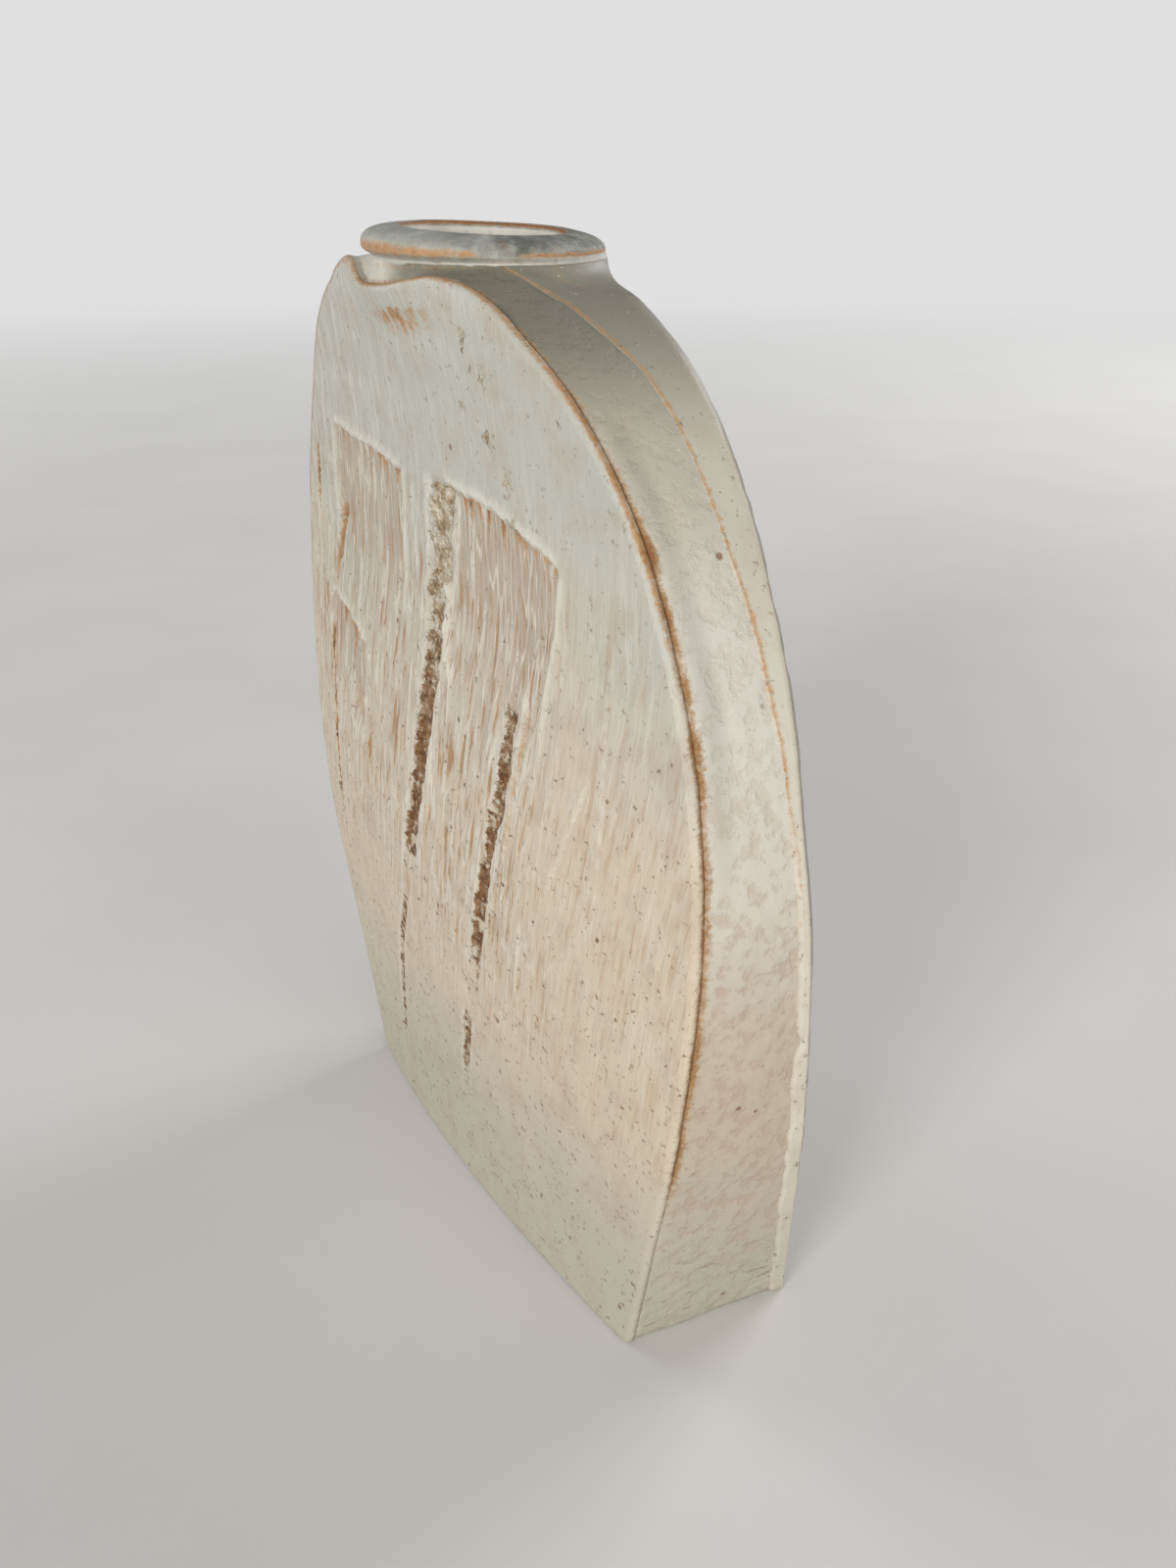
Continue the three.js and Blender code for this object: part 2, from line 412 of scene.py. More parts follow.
# Each stroke: its path, half width at its start and end, depth, iron, burr, fade, seed, rust
GOUGES = [
    Stroke([(9, 233), (6, 205), (0, 177), (-9, 145), (-23, 103)], 6.4, 4.4, 1.5, 1.0, 0.5, 0.12, 3),
    Stroke([(-25, 99), (-38, 72), (-50, 36), (-58, 12)], 2.4, 1.8, 0.5, 0.52, 0.1, 0.5, 4, 0.3),
    Stroke([(45, 184), (42, 160), (35, 137), (27, 108), (17, 80)], 3.0, 3.6, 1.2, 0.95, 0.45, 0.3, 5),
    Stroke([(53, 187), (48, 160), (42, 136), (33, 104)], 1.0, 0.8, 0.4, 0.0, 0.1, 0.4, 15, 0.55),
    Stroke([(16, 78), (8, 52), (2, 30)], 2.8, 1.6, 0.4, 0.55, 0.1, 0.7, 6, 0.3),
    Stroke([(-100, 226), (-101, 200), (-104, 168)], 2.2, 1.5, 0.7, 0.3, 0.4, 0.3, 7, 0.9),
    Stroke([(-71, 212), (-77, 196), (-83, 180)], 3.0, 1.8, 0.9, 0.3, 0.5, 0.4, 8, 0.85),
    Stroke([(-90, 172), (-94, 140), (-97, 104), (-99, 66)], 2.0, 1.3, 0.7, 0.3, 0.4, 0.4, 9, 0.9),
    Stroke([(-62, 154), (-63, 136)], 6.5, 5.0, 0.9, 0.0, 0.8, 0.4, 10, 0.4),
    Stroke([(-108, 50), (-84, 30), (-62, 12)], 1.0, 0.8, 0.35, 0, 0.25, 0.3, 16),
    Stroke([(-98, 62), (-76, 44), (-60, 24)], 0.9, 0.7, 0.3, 0, 0.2, 0.3, 17),
]
RIDGES = [
    Stroke([(51, 190), (48, 162), (41, 134), (29, 98)], 1.3, 1.2, -0.7, 0, 0, 0.3, 11),
    Stroke([(79, 173), (73, 160), (66, 144), (54, 116)], 1.2, 0.9, -0.65, 0, 0, 0.4, 12),
    Stroke([(85, 192), (84, 158), (78, 100)], 1.0, 0.8, -0.3, 0, 0, 0.4, 13),
    Stroke([(14, 230), (10, 200), (2, 160), (-12, 112)], 1.6, 1.2, -0.5, 0, 0, 0.4, 14),
]
# Ochre flecks of the upper right face, as (x, height, size)
OCHRE_FLECKS = [
    (33, 271, 2.1), (39, 262, 1.8), (27, 254, 1.3), (37, 247, 2.0), (45, 238, 2.3), (46, 227, 2.0),
]


class Scrape:
    """A plane scraped into the face: a stepped top edge, a side edge, and a slow run-out below."""

    def __init__(self, top, side, left, depth, run_out, seed):
        self.top = ValueCurve([(z, x) for x, z in top])
        self.side = ValueCurve(side)
        self.left = left
        self.depth = depth
        self.run_out = run_out
        self.seed = seed

    def apply(self, x, z, masks):
        ragged = 1.5 * grain(x / 1.3, 0, z / 14, self.seed) + 0.8 * grain(x / 4, 0, z / 8, self.seed + 1)
        below = self.top(x) - z + ragged
        inside = min(self.side(z) - x + 0.5 * ragged, x - self.left + ragged)
        if below < -4 or inside < -4:
            return 0
        step = ease(-0.9, 0.9, below) * ease(-1.2, 1.2, inside)
        fading = 1 - ease(self.run_out * 0.4, self.run_out, below)
        lip = bell(below + 1.5, 1.3) * ease(-1, 2, inside)
        lip += bell(inside + 1.5, 1.3) * ease(-1, 2, below) * 0.8
        tint = 1 - ease(self.run_out * 0.25, self.run_out * 0.9, below)
        tint *= 0.9 + 0.5 * grain(x / 9, 7, z / 9)
        raise_mask(masks, "scrape", step * tint)
        raise_mask(masks, "thick_glaze_and_shade", lip * fading)
        shade = step * math.exp(-max(below, 0) / 7) * (0.5 + 1.5 * grain(x / 2.0, 5, z / 26, self.seed))
        raise_mask(masks, "rust", shade * 0.85)
        return (lip * 0.6 - step * self.depth) * fading


SCRAPES = [
    Scrape(
        [(8, 232), (38, 229), (63, 222), (70, 219)],
        [(52, 150), (60, 190), (64, 205), (66, 219)], 12, 1.2, 75, 21,
    ),
    Scrape(
        [(-78, 235), (-43, 233), (-20, 231)],
        [(-20, 170), (-17, 205), (-17, 220)], -76, 1.1, 60, 23,
    ),
    Scrape(
        [(-92, 179), (-70, 176), (-53, 170)],
        [(-60, 130), (-55, 150), (-53, 168)], -90, 0.9, 35, 25,
    ),
]
FRONT_MARKS = SCRAPES + GOUGES + RIDGES


def flow_of(x, z):
    """Grain lines run straight down the upper face and drift to the left lower down."""
    low = max(0, 205 - z)
    return x + 0.16 * low + 0.0003 * low * low


def comb_strength(x, z):
    """How strongly the face is combed: most in the middle, hardly at the foot and by the right edge."""
    high = mix(mix(0.28, 0.6, ease(0, -50, x)), 1, ease(245, 205, z))
    low = ease(55, 125, z + 0.1 * x)
    right = 0.35 + 0.65 * ease(75, 35, x)
    return high * low * right


def front_relief(x, z, settings):
    """Height of the front face's marks over its smooth swell, with its glaze masks."""
    masks = {}
    flow = flow_of(x, z)
    height = 0
    for mark in FRONT_MARKS:
        height += mark.apply(x, z, masks)
    strength = min(1, comb_strength(x, z) + 0.5 * masks.get("scrape", 0)) * (1 - 0.8 * masks.get("iron", 0))
    wide = grain(flow / 3.6, 0, z / 46, 31)
    fine = grain(flow / 1.9, 0, z / 24, 32)
    height += settings.comb_depth / MM * strength * (0.6 * wide + 0.5 * fine - 0.25)
    height -= thumb_hollow(x, z, flow, masks)
    height -= ochre_flecks(x, z, masks)
    masks["comb"] = strength
    masks["flow"] = flow * MM
    return height, masks


def thumb_hollow(x, z, flow, masks):
    """The depth of the hollow under the crest in front of the neck, with its rusty patch."""
    ragged = 1.2 * grain(flow / 1.6, 0, z / 9, 34)
    patch = ease(278.5, 275.5, z + ragged) * bell(max(0, 276 - z), 8) * bell(x - 4, 21)
    raise_mask(masks, "rust", 0.66 * patch * (0.75 + 0.7 * grain(flow / 2.4, 0, z / 9, 33)))
    return 1.5 * bell(x - 3, 22) * bell(z - 272, 5.5)


def ochre_flecks(x, z, masks):
    """The depth of the pits under the ochre flecks, with their iron."""
    depth = 0
    for fleck_x, fleck_z, size in OCHRE_FLECKS:
        gap = math.hypot(x - fleck_x, (z - fleck_z) / 1.3) / size
        if gap < 2.5:
            raise_mask(masks, "iron", 0.62 * bell(gap, 1))
            depth += 0.35 * bell(gap, 1)
    return depth


def crest_lift(x, z):
    """How far the top of the front slab is lifted or pressed down by its uneven crest."""
    lean_x = x + LEAN_AT_TOP
    weight = ease(258, TOP_HEIGHT - 2, z) * ease(CREST_REACH, CREST_REACH - 8, abs(lean_x))
    if weight == 0:
        return 0
    return (crest_height(lean_x) - upper_outline(abs(x))) * weight


def crest_bulge(x, z):
    """How far the front slab's top is pushed forward by the neck behind it."""
    across = bell(x + LEAN_AT_TOP - CREST_BULGE_X, CREST_BULGE_WIDTH)
    return CREST_BULGE * across * ease(248, TOP_HEIGHT, z)


def front_face(length, settings):
    """The outer face of one level loop of the front slab, from its left edge to its right."""
    place, out = station(length)
    z = place.y
    rim = front_rim(z)
    crown = front_crown(z)
    edge_x, edge_z = front_edge(length, settings)
    spots = []
    for i in range(settings.face_columns + 1):
        u = 2 * i / settings.face_columns - 1
        x = u * edge_x
        height, masks = front_relief(x + lean_at(z), edge_z, settings)
        gap = (1 - abs(u)) * edge_x * min(1, out.x + 0.02)
        hold = ease(0, 8, gap)
        edge_rise = 0.22 * bell(gap - 0.6, 3.4) * ease(185, 240, z)
        y = rim - crown * (1 - u * u) - height * hold - edge_rise * hold
        line = mix(0.85, 0.12, ease(-0.5, 0.5, u)) * edge_line(edge_z, x)
        raise_mask(masks, "rust", line * math.exp(-gap / 0.9))
        spots.append(Spot(Vector((x, y, edge_z)), Vector((0, -1, 0)), masks))
    return spots


def front_edge(length, settings):
    """Half width and height of the outer face's edge, where the bead begins."""
    place, out = station(length)
    bead = settings.bead_radius / MM
    return place.x - out.x * bead, max(place.y - out.y * bead, 0)


def front_loop(length, rise, settings):
    """One level loop of the front slab: outer face, right edge, inner face, left edge."""
    place, out = station(length)
    rim = front_rim(place.y)
    crown = front_crown(place.y)
    edge_x, edge_z = front_edge(length, settings)
    face = front_face(length, settings)
    right = edge_spots(edge_x, edge_z, out, rim, settings.bead_radius / MM)
    left = [mirrored_spot(spot) for spot in reversed(right)]
    for edge, beside in ((right, face[-1]), (left, face[0])):
        for spot in edge:
            spot.masks["flow"] = beside.masks["flow"]
    inner = []
    for i in range(settings.inner_columns + 1):
        u = 1 - 2 * i / settings.inner_columns
        inner_place = Vector((u * (edge_x - 2), rim + WALL - crown * (1 - u * u), edge_z))
        inner.append(Spot(inner_place, Vector((0, 1, 0)), {"thick_glaze_and_shade": INNER_THICK}))
    loop = face + right + inner + left
    for spot in loop:
        x = spot.place.x
        spot.place.y -= crest_bulge(x, edge_z)
        spot.place.z += crest_lift(x, edge_z)
        spot.place.z += rise
    return loop


def edge_glow(z, x):
    """How rusty the front slab's edge is at a height: strongest from the crest to the waist."""
    strength = mix(0.1, 1, ease(45, 80, z)) * mix(1, 0.8, ease(230, 270, z))
    return strength * (0.85 + 0.4 * grain(x / 20, 0, z / 8, 41))


def edge_line(z, x):
    """How clear the pale orange line on the very edge is: bright by the crest, faint below the shoulder."""
    return edge_glow(z, x) * mix(0.35, 1, ease(180, 235, z))


def edge_spots(edge_x, edge_z, out, rim, bead):
    """The rounded bead of the front slab's right edge, and the crease behind it."""
    spots = []
    away = Vector((out.x, 0, out.y))
    centre = Vector((edge_x, rim + bead, edge_z))
    glow = edge_glow(edge_z, edge_x)
    line = edge_line(edge_z, edge_x)
    for degrees in range(34, 154, 17):
        angle = math.radians(degrees)
        way = away * math.sin(angle) - Vector((0, math.cos(angle), 0))
        crest = bell(angle - 1.5, 0.6)
        pool = mix(0.3, 1, ease(1.0, 2.2, angle))
        masks = {"rust": line * (0.2 + 0.55 * crest), "pool": pool * glow}
        spots.append(Spot(centre + way * bead, way, masks))
    deep = [(0.5, 2.1, 1.0), (2.0, 3.2, 1.0), (2.2, WALL - 1.5, 0.3)]
    for inward, back, pool in deep:
        place = Vector((edge_x, rim + back, edge_z)) + away * (bead - inward - 0.4)
        spots.append(Spot(place, away, {"pool": pool * glow, "rust": 0.4 * line}))
    return spots


def mirrored_spot(spot):
    place = Vector((-spot.place.x, spot.place.y, spot.place.z))
    out = Vector((-spot.out.x, spot.out.y, spot.out.z))
    return Spot(place, out, dict(spot.masks))


def front_rows(settings):
    def row_at(length):
        return front_loop(length, 0, settings)

    rows = rising_rows(row_at, outline.lengths[-1], settings.body_rows)
    for step in range(1, RIDGE_STEPS + 1):
        rows.append(ridge_row(math.radians(90 * step / RIDGE_STEPS), settings))
    return rows


def ridge_row(angle, settings):
    """One row of the bead along the top edge, which rolls over from the outer face to the inner one."""
    bead = settings.bead_radius / MM
    closing = math.sin(angle)
    row = front_loop(outline.lengths[-1], bead * closing, settings)
    rim = front_rim(TOP_HEIGHT)
    crown = front_crown(TOP_HEIGHT)
    for spot in row:
        x = spot.place.x
        ridge = rim - crown * (1 - (x / TOP_HALF_WIDTH) ** 2) - crest_bulge(x, TOP_HEIGHT) + bead
        if spot.out.y == -1:
            spot.place.y += bead * (1 - math.cos(angle))
            raise_mask(spot.masks, "rust", 0.8 * closing * edge_patches(x))
        elif spot.out.y == 1:
            spot.place.y = mix(spot.place.y, ridge + 0.1, closing ** 2)
            spot.masks["rust"] = 0.35 * closing ** 3
        else:
            spot.place.z -= bead * closing
    return row


def edge_patches(x):
    """The rust of the crest is patchy, and thin where it drops from the left corner to the thumb hollow."""
    drop = bell(x + LEAN_AT_TOP + 30, 5)
    return (0.85 + 0.3 * grain(x / 11, 4, 0, 44)) * (1 - 0.6 * drop)


# The side strips, and the way that they run up round the neck

def ring_place(bearing):
    """A place on the neck's ring, by its bearing from the front towards the right."""
    angle = math.radians(bearing)
    turn = (bearing + 180) % 360 - 180
    lift = RING_LIFT * bell(turn - LIFT_BEARING, 38)
    radius = ring_radius(angle) + 0.45 * lift
    x = NECK_X + radius * math.sin(angle)
    y = NECK_Y - radius * math.cos(angle)
    return Vector((x, y, RING_HEIGHT + lift))


def ring_radius(angle):
    """The neck flares out more behind than in front."""
    return RING_RADIUS - RING_SHIFT * math.cos(angle)


def level_way(bearing):
    """The level way from a bearing of the neck's ring towards the neck's axis."""
    angle = math.radians(bearing)
    return Vector((-math.sin(angle), math.cos(angle), 0))


def ring_way(bearing):
    """The way in which the shoulder runs up into the neck at a bearing."""
    angle = math.radians(bearing)
    return Vector((-math.sin(angle) * 0.18, math.cos(angle) * 0.18, 0.98))


def side_place(length, y, depth, side):
    """A place on the side wall of one side, at a depth under the outline."""
    place, out = station(length)
    z = place.y
    share = min(max((y - front_rim(z)) / (back_rim(z) - front_rim(z)), 0), 1)
    x = (place.x - out.x * depth) * (1 + BACK_FLARE * share)
    return Vector((side * x, y, max(z - out.y * depth, 0))), Vector((side * out.x, 0, out.y))


def seam_step(z):
    """How far the folded rim stands over the strip: a torn step low down, a faint one near the neck."""
    return mix(1.3, 0.5, ease(120, 190, z))


def seam_end(side):
    """The seam from the shoulder's end to the neck: where it starts, its first way, and its end."""
    last = outline.length_where(SHOULDER_END)
    place, _ = outline.at(last)
    start, _ = side_place(last, seam_place(place.y), 0, side)
    before_place, _ = outline.at(last - 4)
    before, _ = side_place(last - 4, seam_place(before_place.y), 0, side)
    end = unleaned(ring_place(SEAM_BEARING * side))
    way = (start - before).normalized()
    return start, way, end


def seam_top(side, share):
    """A place on the seam's last stretch, up to the neck."""
    start, way, end = seam_end(side)
    reach = (end - start).length
    return hermite(start, way * reach * 0.8, end, seam_way(side) * reach * 0.8, share)


def seam_way(side):
    """The way in which the seam comes to the neck: nearly level, along under the lip."""
    return Vector((-0.85 * side, -0.42, 0.30))


def crest_place(x_leaned):
    """A place on the crest of the front slab in front of the neck, on its upright drawing."""
    x = x_leaned - LEAN_AT_TOP
    rim = front_rim(TOP_HEIGHT)
    u = min(1, abs(x) / TOP_HALF_WIDTH)
    y = rim - front_crown(TOP_HEIGHT) * (1 - u * u) - crest_bulge(x, TOP_HEIGHT)
    return Vector((x, y + 1.6, crest_height(x_leaned)))


class StripEdge:
    """The edge of a strip in one row: where it is, which way is out, and the way across the strip."""

    __slots__ = ("place", "out", "way")

    def __init__(self, place, out, way):
        self.place = place
        self.out = out
        self.way = way


def strip_section(front, back, settings, side, z, thickness, hold=1):
    """The loop of a strip between its front and back edges: the outer face, then the inner face."""
    spots = []
    for i in range(settings.strip_columns + 1):
        a = i / settings.strip_columns
        place = hermite(front.place, front.way, back.place, back.way, a)
        out = front.out.lerp(back.out, a).normalized()
        gap_front = (place - front.place).length
        gap_back = (place - back.place).length
        place = place + out * strip_relief(place, gap_front, gap_back, z, side) * hold
        spots.append(Spot(place, out, strip_masks(place, gap_front, gap_back, z, side)))
    return spots + inner_face(spots, settings.strip_inner, thickness)


def strip_relief(place, gap_front, gap_back, z, side):
    """Blisters and soft dents of the strip, and the dips into the creases at its edges."""
    blister_zone = 0.25 + 0.75 * bell(z - 125, 55)
    far = place / 4.2
    lumps = grain(far.x, far.y, far.z * 0.8, 51 + side) * 0.30
    small = grain(place.x / 1.9, place.y / 1.9, place.z / 2.3, 53 + side) * 0.14
    dents = grain(place.x / 13, place.y / 13, place.z / 18, 55 + side) * 0.45
    dip = -mix(0.25, 0.45, ease(40, 90, z)) * bell(gap_front + 0.2, 0.9)
    torn = 0.35 * bell(gap_back, 2.0) * grain(place.z / 3, place.y / 2, 0, 57)
    foot = 0.4 * ease(45, 12, z) * grain(place.y / 9, 0, place.z / 1.6, 58) * ease(0, 3, z)
    return (lumps + small) * blister_zone + dents + dip + torn + foot


def strip_masks(place, gap_front, gap_back, z, side):
    """The strip's glaze: rusty along its edges, with painted shade by the crest and neck that is partly a
    greyer glaze, and one blot on the right.
    """
    glow = edge_glow(z, 0)
    crease = bell(gap_front, mix(2.5, 1.7, ease(180, 230, z)))
    streak = bell(gap_back - 1.0, 1.1)
    upper = upper_share(z)
    # Painted shade where the strip turns up to the neck, partly a greyer glaze
    neck = 1.5 * ease(245, 279, place.z)
    blot = 0.9 * bell(z - 231, 3.5) * bell(gap_front, 2.6) * max(0, side)
    return {
        "pool": glow * crease + blot,
        "rust": max(0.6 * glow * bell(gap_front, 2.0), 0.3 * streak * mix(0.3, 1, upper)),
        # On the strips this mask lays painted shade: faintly everywhere, most by the neck and in a band
        # behind the front slab's edge
        "thick_glaze_and_shade": max(0.15, neck, 0.6 * bell(gap_front - 5, 3.5) * upper),
        "scrape": ease(274, 281, place.z) * ease(16, 2, place.x),
        "flow": place.y * MM,
    }


def strip_set_back(z):
    """How deep the strip's front edge lies behind the front slab's edge."""
    return mix(0.7, 1.0, ease(30, 90, z))


def strip_start(length, side):
    """The strip's front edge at a length of the outline, and the way out there."""
    z = outline.at(length)[0].y
    return side_place(length, front_rim(z) + FRONT_TUCK, strip_set_back(z), side)


def level_strip_row(length, side, settings):
    """One row of a strip beside the body."""
    place, out = station(length)
    z = place.y
    front, out_front = strip_start(length, side)
    back, out_back = side_place(length, seam_place(z) + SEAM_TUCK, seam_step(z), side)
    swell = Vector((side * out.x, 0, out.y)) * (3.2 * ease(0, 60, z))
    way = back - front
    front_side = StripEdge(front, out_front, way + swell)
    back_side = StripEdge(back, out_back, way - swell)
    return strip_section(front_side, back_side, settings, side, z, STRIP_THICKNESS)


def fan_front(t, side):
    """The strip's front edge on its way to the neck's front, tucked in behind the crest, and its height."""
    last = outline.length_where(SHOULDER_END)
    start, _ = strip_start(last, side)
    start_x = leaned(start).x
    end_x = NECK_X + RING_RADIUS * math.sin(math.radians(end_bearing(side)))
    x = mix(start_x, end_x, t)
    crest = crest_place(x)
    join = ease(0, 0.25, t)
    straight = start + Vector((x - start_x, 0, 0))
    straight.z = crest.z - mix(strip_set_back(outline.at(last)[0].y), 0.45, join)
    return straight.lerp(crest + Vector((0, 0.9, -0.45)), join), crest.z


def fan_back(t, side):
    """The strip's back edge on its way along the seam and round the neck's ring, and its bearing."""
    if t < FAN_TURN:
        back = seam_top(side, t / FAN_TURN)
        bearing = SEAM_BEARING * side
        back.y += SEAM_TUCK * (1 - t / FAN_TURN)
    else:
        bearing = mix(SEAM_BEARING * side, end_bearing(side), (t - FAN_TURN) / (1 - FAN_TURN))
        back = unleaned(ring_place(bearing))
    back.z -= 0.5 * ease(FAN_TURN * 1.1, FAN_TURN * 0.6, t)
    return back, bearing


def end_bearing(side):
    """The bearing in front of the neck where a strip ends, a little past the other one's end."""
    return FRONT_BEARING - 2.5 * side


def fan_strip_row(t, side, settings):
    """One row of a strip above the shoulder's end, where it fans out to the front of the neck."""
    _, out_start = strip_start(outline.length_where(SHOULDER_END), side)
    front, crest_z = fan_front(t, side)
    back, bearing = fan_back(t, side)
    reach = back - front
    level = Vector((reach.x, reach.y, 0))
    inward = level_way(bearing)
    upness = max(0, level.normalized().dot(inward)) * ease(FAN_TURN * 0.7, FAN_TURN * 1.3, t)
    upness *= ease(286, 281.5, crest_z)
    rise = reach.z * (1 - upness) + reach.length * 1.1 * upness
    front_way = level * 0.9 + Vector((0, 0, reach.z)) * (1 - upness)
    back_way = level * (1 - 0.5 * upness) + Vector((0, 0, rise))
    up = Vector((0, 0, 1))
    turned = ease(0, 0.4, t)
    out_front = out_start.lerp(up, turned).normalized()
    out_back = out_start.lerp((up * 0.6 - inward).normalized(), turned).normalized()
    front_side = StripEdge(front, out_front, front_way)
    back_side = StripEdge(back, out_back, back_way)
    thickness = mix(STRIP_THICKNESS, FAN_THICKNESS, ease(0, 0.15, t))
    hold = ease(1, 0.75, t)
    row = strip_section(front_side, back_side, settings, side, FAN_HEIGHT, thickness, hold)
    for spot in row:
        spot.place.z -= 0.06 * (1 - side)
    return row


def strip_rows(side, settings):
    def row_at(length):
        return level_strip_row(length, side, settings)

    rows = rising_rows(row_at, outline.length_where(SHOULDER_END), settings.body_rows)
    count = settings.fan_rows
    rows.extend(fan_strip_row(i / count, side, settings) for i in range(1, count + 1))
    return rows


# The back slab with its folded rim

def back_section(length, settings):
    """Half of the back slab's outer section, from the seam on the right to the middle of the back."""
    place, _ = station(length)
    z = place.y
    seam = seam_place(z) + torn_edge(z)
    rim = back_rim(z)
    crown = back_crown(z)
    spots = []
    for i in range(settings.fold_columns):
        share = i / settings.fold_columns
        y = mix(seam, rim, share)
        spot_place, spot_out = side_place(length, y, 0, 1)
        spots.append(Spot(spot_place, spot_out, fold_masks(spot_place, y - seam, z)))
    edge, edge_out = side_place(length, rim, 0, 1)
    quarter = settings.back_columns
    for i in range(quarter + 1):
        angle = math.radians(90 * i / quarter)
        x = edge.x * math.cos(angle)
        y = rim + crown * math.sin(angle)
        way = Vector((math.cos(angle) * crown, math.sin(angle) * edge.x, 0)).normalized()
        way = Vector((way.x, way.y, edge_out.z * math.cos(angle) ** 3)).normalized()
        spots.append(Spot(Vector((x, y, edge.z)), way, {}))
    return spots


def torn_edge(z):
    """The torn wander of the folded rim's front edge, with two deeper notches low down."""
    rough = ease(185, 120, z)
    wander = 0.5 * grain(0, 0, z / 14, 61) * ease(276, 255, z) + rough * 0.7 * grain(0, 0, z / 6, 62)
    for notch in (112, 22):
        wander += 0.9 * rough * bell(z - notch, 3)
    return wander


def fold_masks(place, gap, z):
    """The fold's glaze: a golden line along its torn edge."""
    return {
        "rust": mix(0.16, 0.5, upper_share(z)) * bell(gap, 1.2),
        "thick_glaze_and_shade": BACK_THICK,
        "flow": place.y * MM,
    }


def back_relief(x, z, settings):
    """Marks on the back face: long combed grain, one scraped plane, three gouges and one ridge."""
    masks = {}
    height = 0
    for mark in BACK_MARKS:
        height += mark.apply(x, z, masks)
    flow = x - 0.10 * max(0, 190 - z)
    strength = 0.75 * ease(20, 80, z) * ease(268, 235, z) * (1 - 0.8 * masks.get("iron", 0))
    wide = grain(flow / 5, 0, z / 65, 71)
    fine = grain(flow / 1.9, 0, z / 28, 72)
    height += settings.comb_depth / MM * strength * (0.6 * wide + 0.5 * fine)
    masks["comb"] = strength
    masks["flow"] = flow * MM
    return height, masks


BACK_MARKS = [
    Stroke([(-22, 214), (-18, 176), (-10, 138)], 4.4, 3.2, 1.1, 0.95, 0.4, 0.2, 81),
    Stroke([(-8, 130), (0, 102), (6, 80)], 2.2, 1.1, 0.4, 0.5, 0.1, 0.5, 82),
    Stroke([(52, 200), (50, 160), (42, 120)], 1.4, 1.0, -0.6, 0, 0, 0.4, 83),
    Stroke([(-60, 186), (-58, 150), (-48, 118)], 1.8, 1.2, 0.7, 0.6, 0.3, 0.4, 84),
    Scrape(
        [(-10, 226), (20, 229), (48, 224), (60, 218)],
        [(50, 140), (60, 190), (62, 218)], -12, 0.8, 80, 85,
    ),
]


def back_outer(length, settings):
    """The whole outer section of the back slab, from the right seam round the back to the left seam."""
    half = back_section(length, settings)
    other = [mirrored_spot(spot) for spot in reversed(half[:-1])]
    spots = half + other
    place, _ = station(length)
    z = place.y
    width = half[settings.fold_columns].place.x
    for spot in spots:
        facing = max(0, spot.out.y)
        height, masks = back_relief(spot.place.x + lean_at(z), z, settings)
        hold = ease(0.25, 0.8, facing)
        spot.place += spot.out * height * hold
        for mask in ("iron", "comb", "scrape"):
            spot.masks[mask] = masks.get(mask, 0) * hold
        spot.masks["thick_glaze_and_shade"] = max(BACK_THICK, masks.get("thick_glaze_and_shade", 0) * hold)
        raise_mask(spot.masks, "rust", masks.get("rust", 0) * hold)
        spot.masks["flow"] = mix(spot.masks.get("flow", 0), masks["flow"], hold)
        soft = 0.35 * grain(spot.place.x / 16, spot.place.y / 16, z / 20, 73)
        lumps = 0.12 * grain(spot.place.x / 4, spot.place.y / 4, z / 4, 74)
        shift = mix(soft + lumps, min(soft + lumps, 0) - 0.18, ease(192, 174, z))
        behind_seam = spot.place.y - seam_place(z)
        shift -= 0.2 * ease(3, 10, behind_seam) * ease(245, 215, z)
        spot.place += spot.out * shift * ease(0, 12, z)
        corner = bell(abs(spot.place.x) - width, 4)
        wear = corner * ease(0.9, 0.3, facing) * ease(0.02, 0.3, facing)
        raise_mask(spot.masks, "rust", 0.4 * wear * (0.6 + 0.6 * grain(0, 0, z / 12, 75)))
    return spots


def back_loop(outer, settings, thickness=WALL):
    """Closes an outer section with its two rounded seam edges and its inner face."""
    right = seam_edge(outer[0], outer[1], thickness)
    left = seam_edge(outer[-1], outer[-2], thickness)
    return list(reversed(right)) + outer + left + inner_face(outer, settings.back_inner, thickness)


def seam_edge(edge, beside, thickness):
    """The rounded, torn front edge of the folded rim, down into the seam."""
    ahead = (edge.place - beside.place).normalized()
    radius = 1.1
    upper = upper_share(edge.place.z)
    spots = []
    for degrees in range(20, 101, 20):
        angle = math.radians(degrees)
        way = edge.out * math.cos(angle) + ahead * math.sin(angle)
        place = edge.place + edge.out * (-radius) + way * radius
        spots.append(Spot(place, way, {"rust": mix(0.12, 0.32, upper), "thick_glaze_and_shade": 0.25}))
    foot = edge.place - edge.out * (thickness - 2) + ahead * radius * 0.6
    spots.append(Spot(foot, ahead, {"rust": mix(0.3, 0.45, upper), "pool": 0.3}))
    return spots


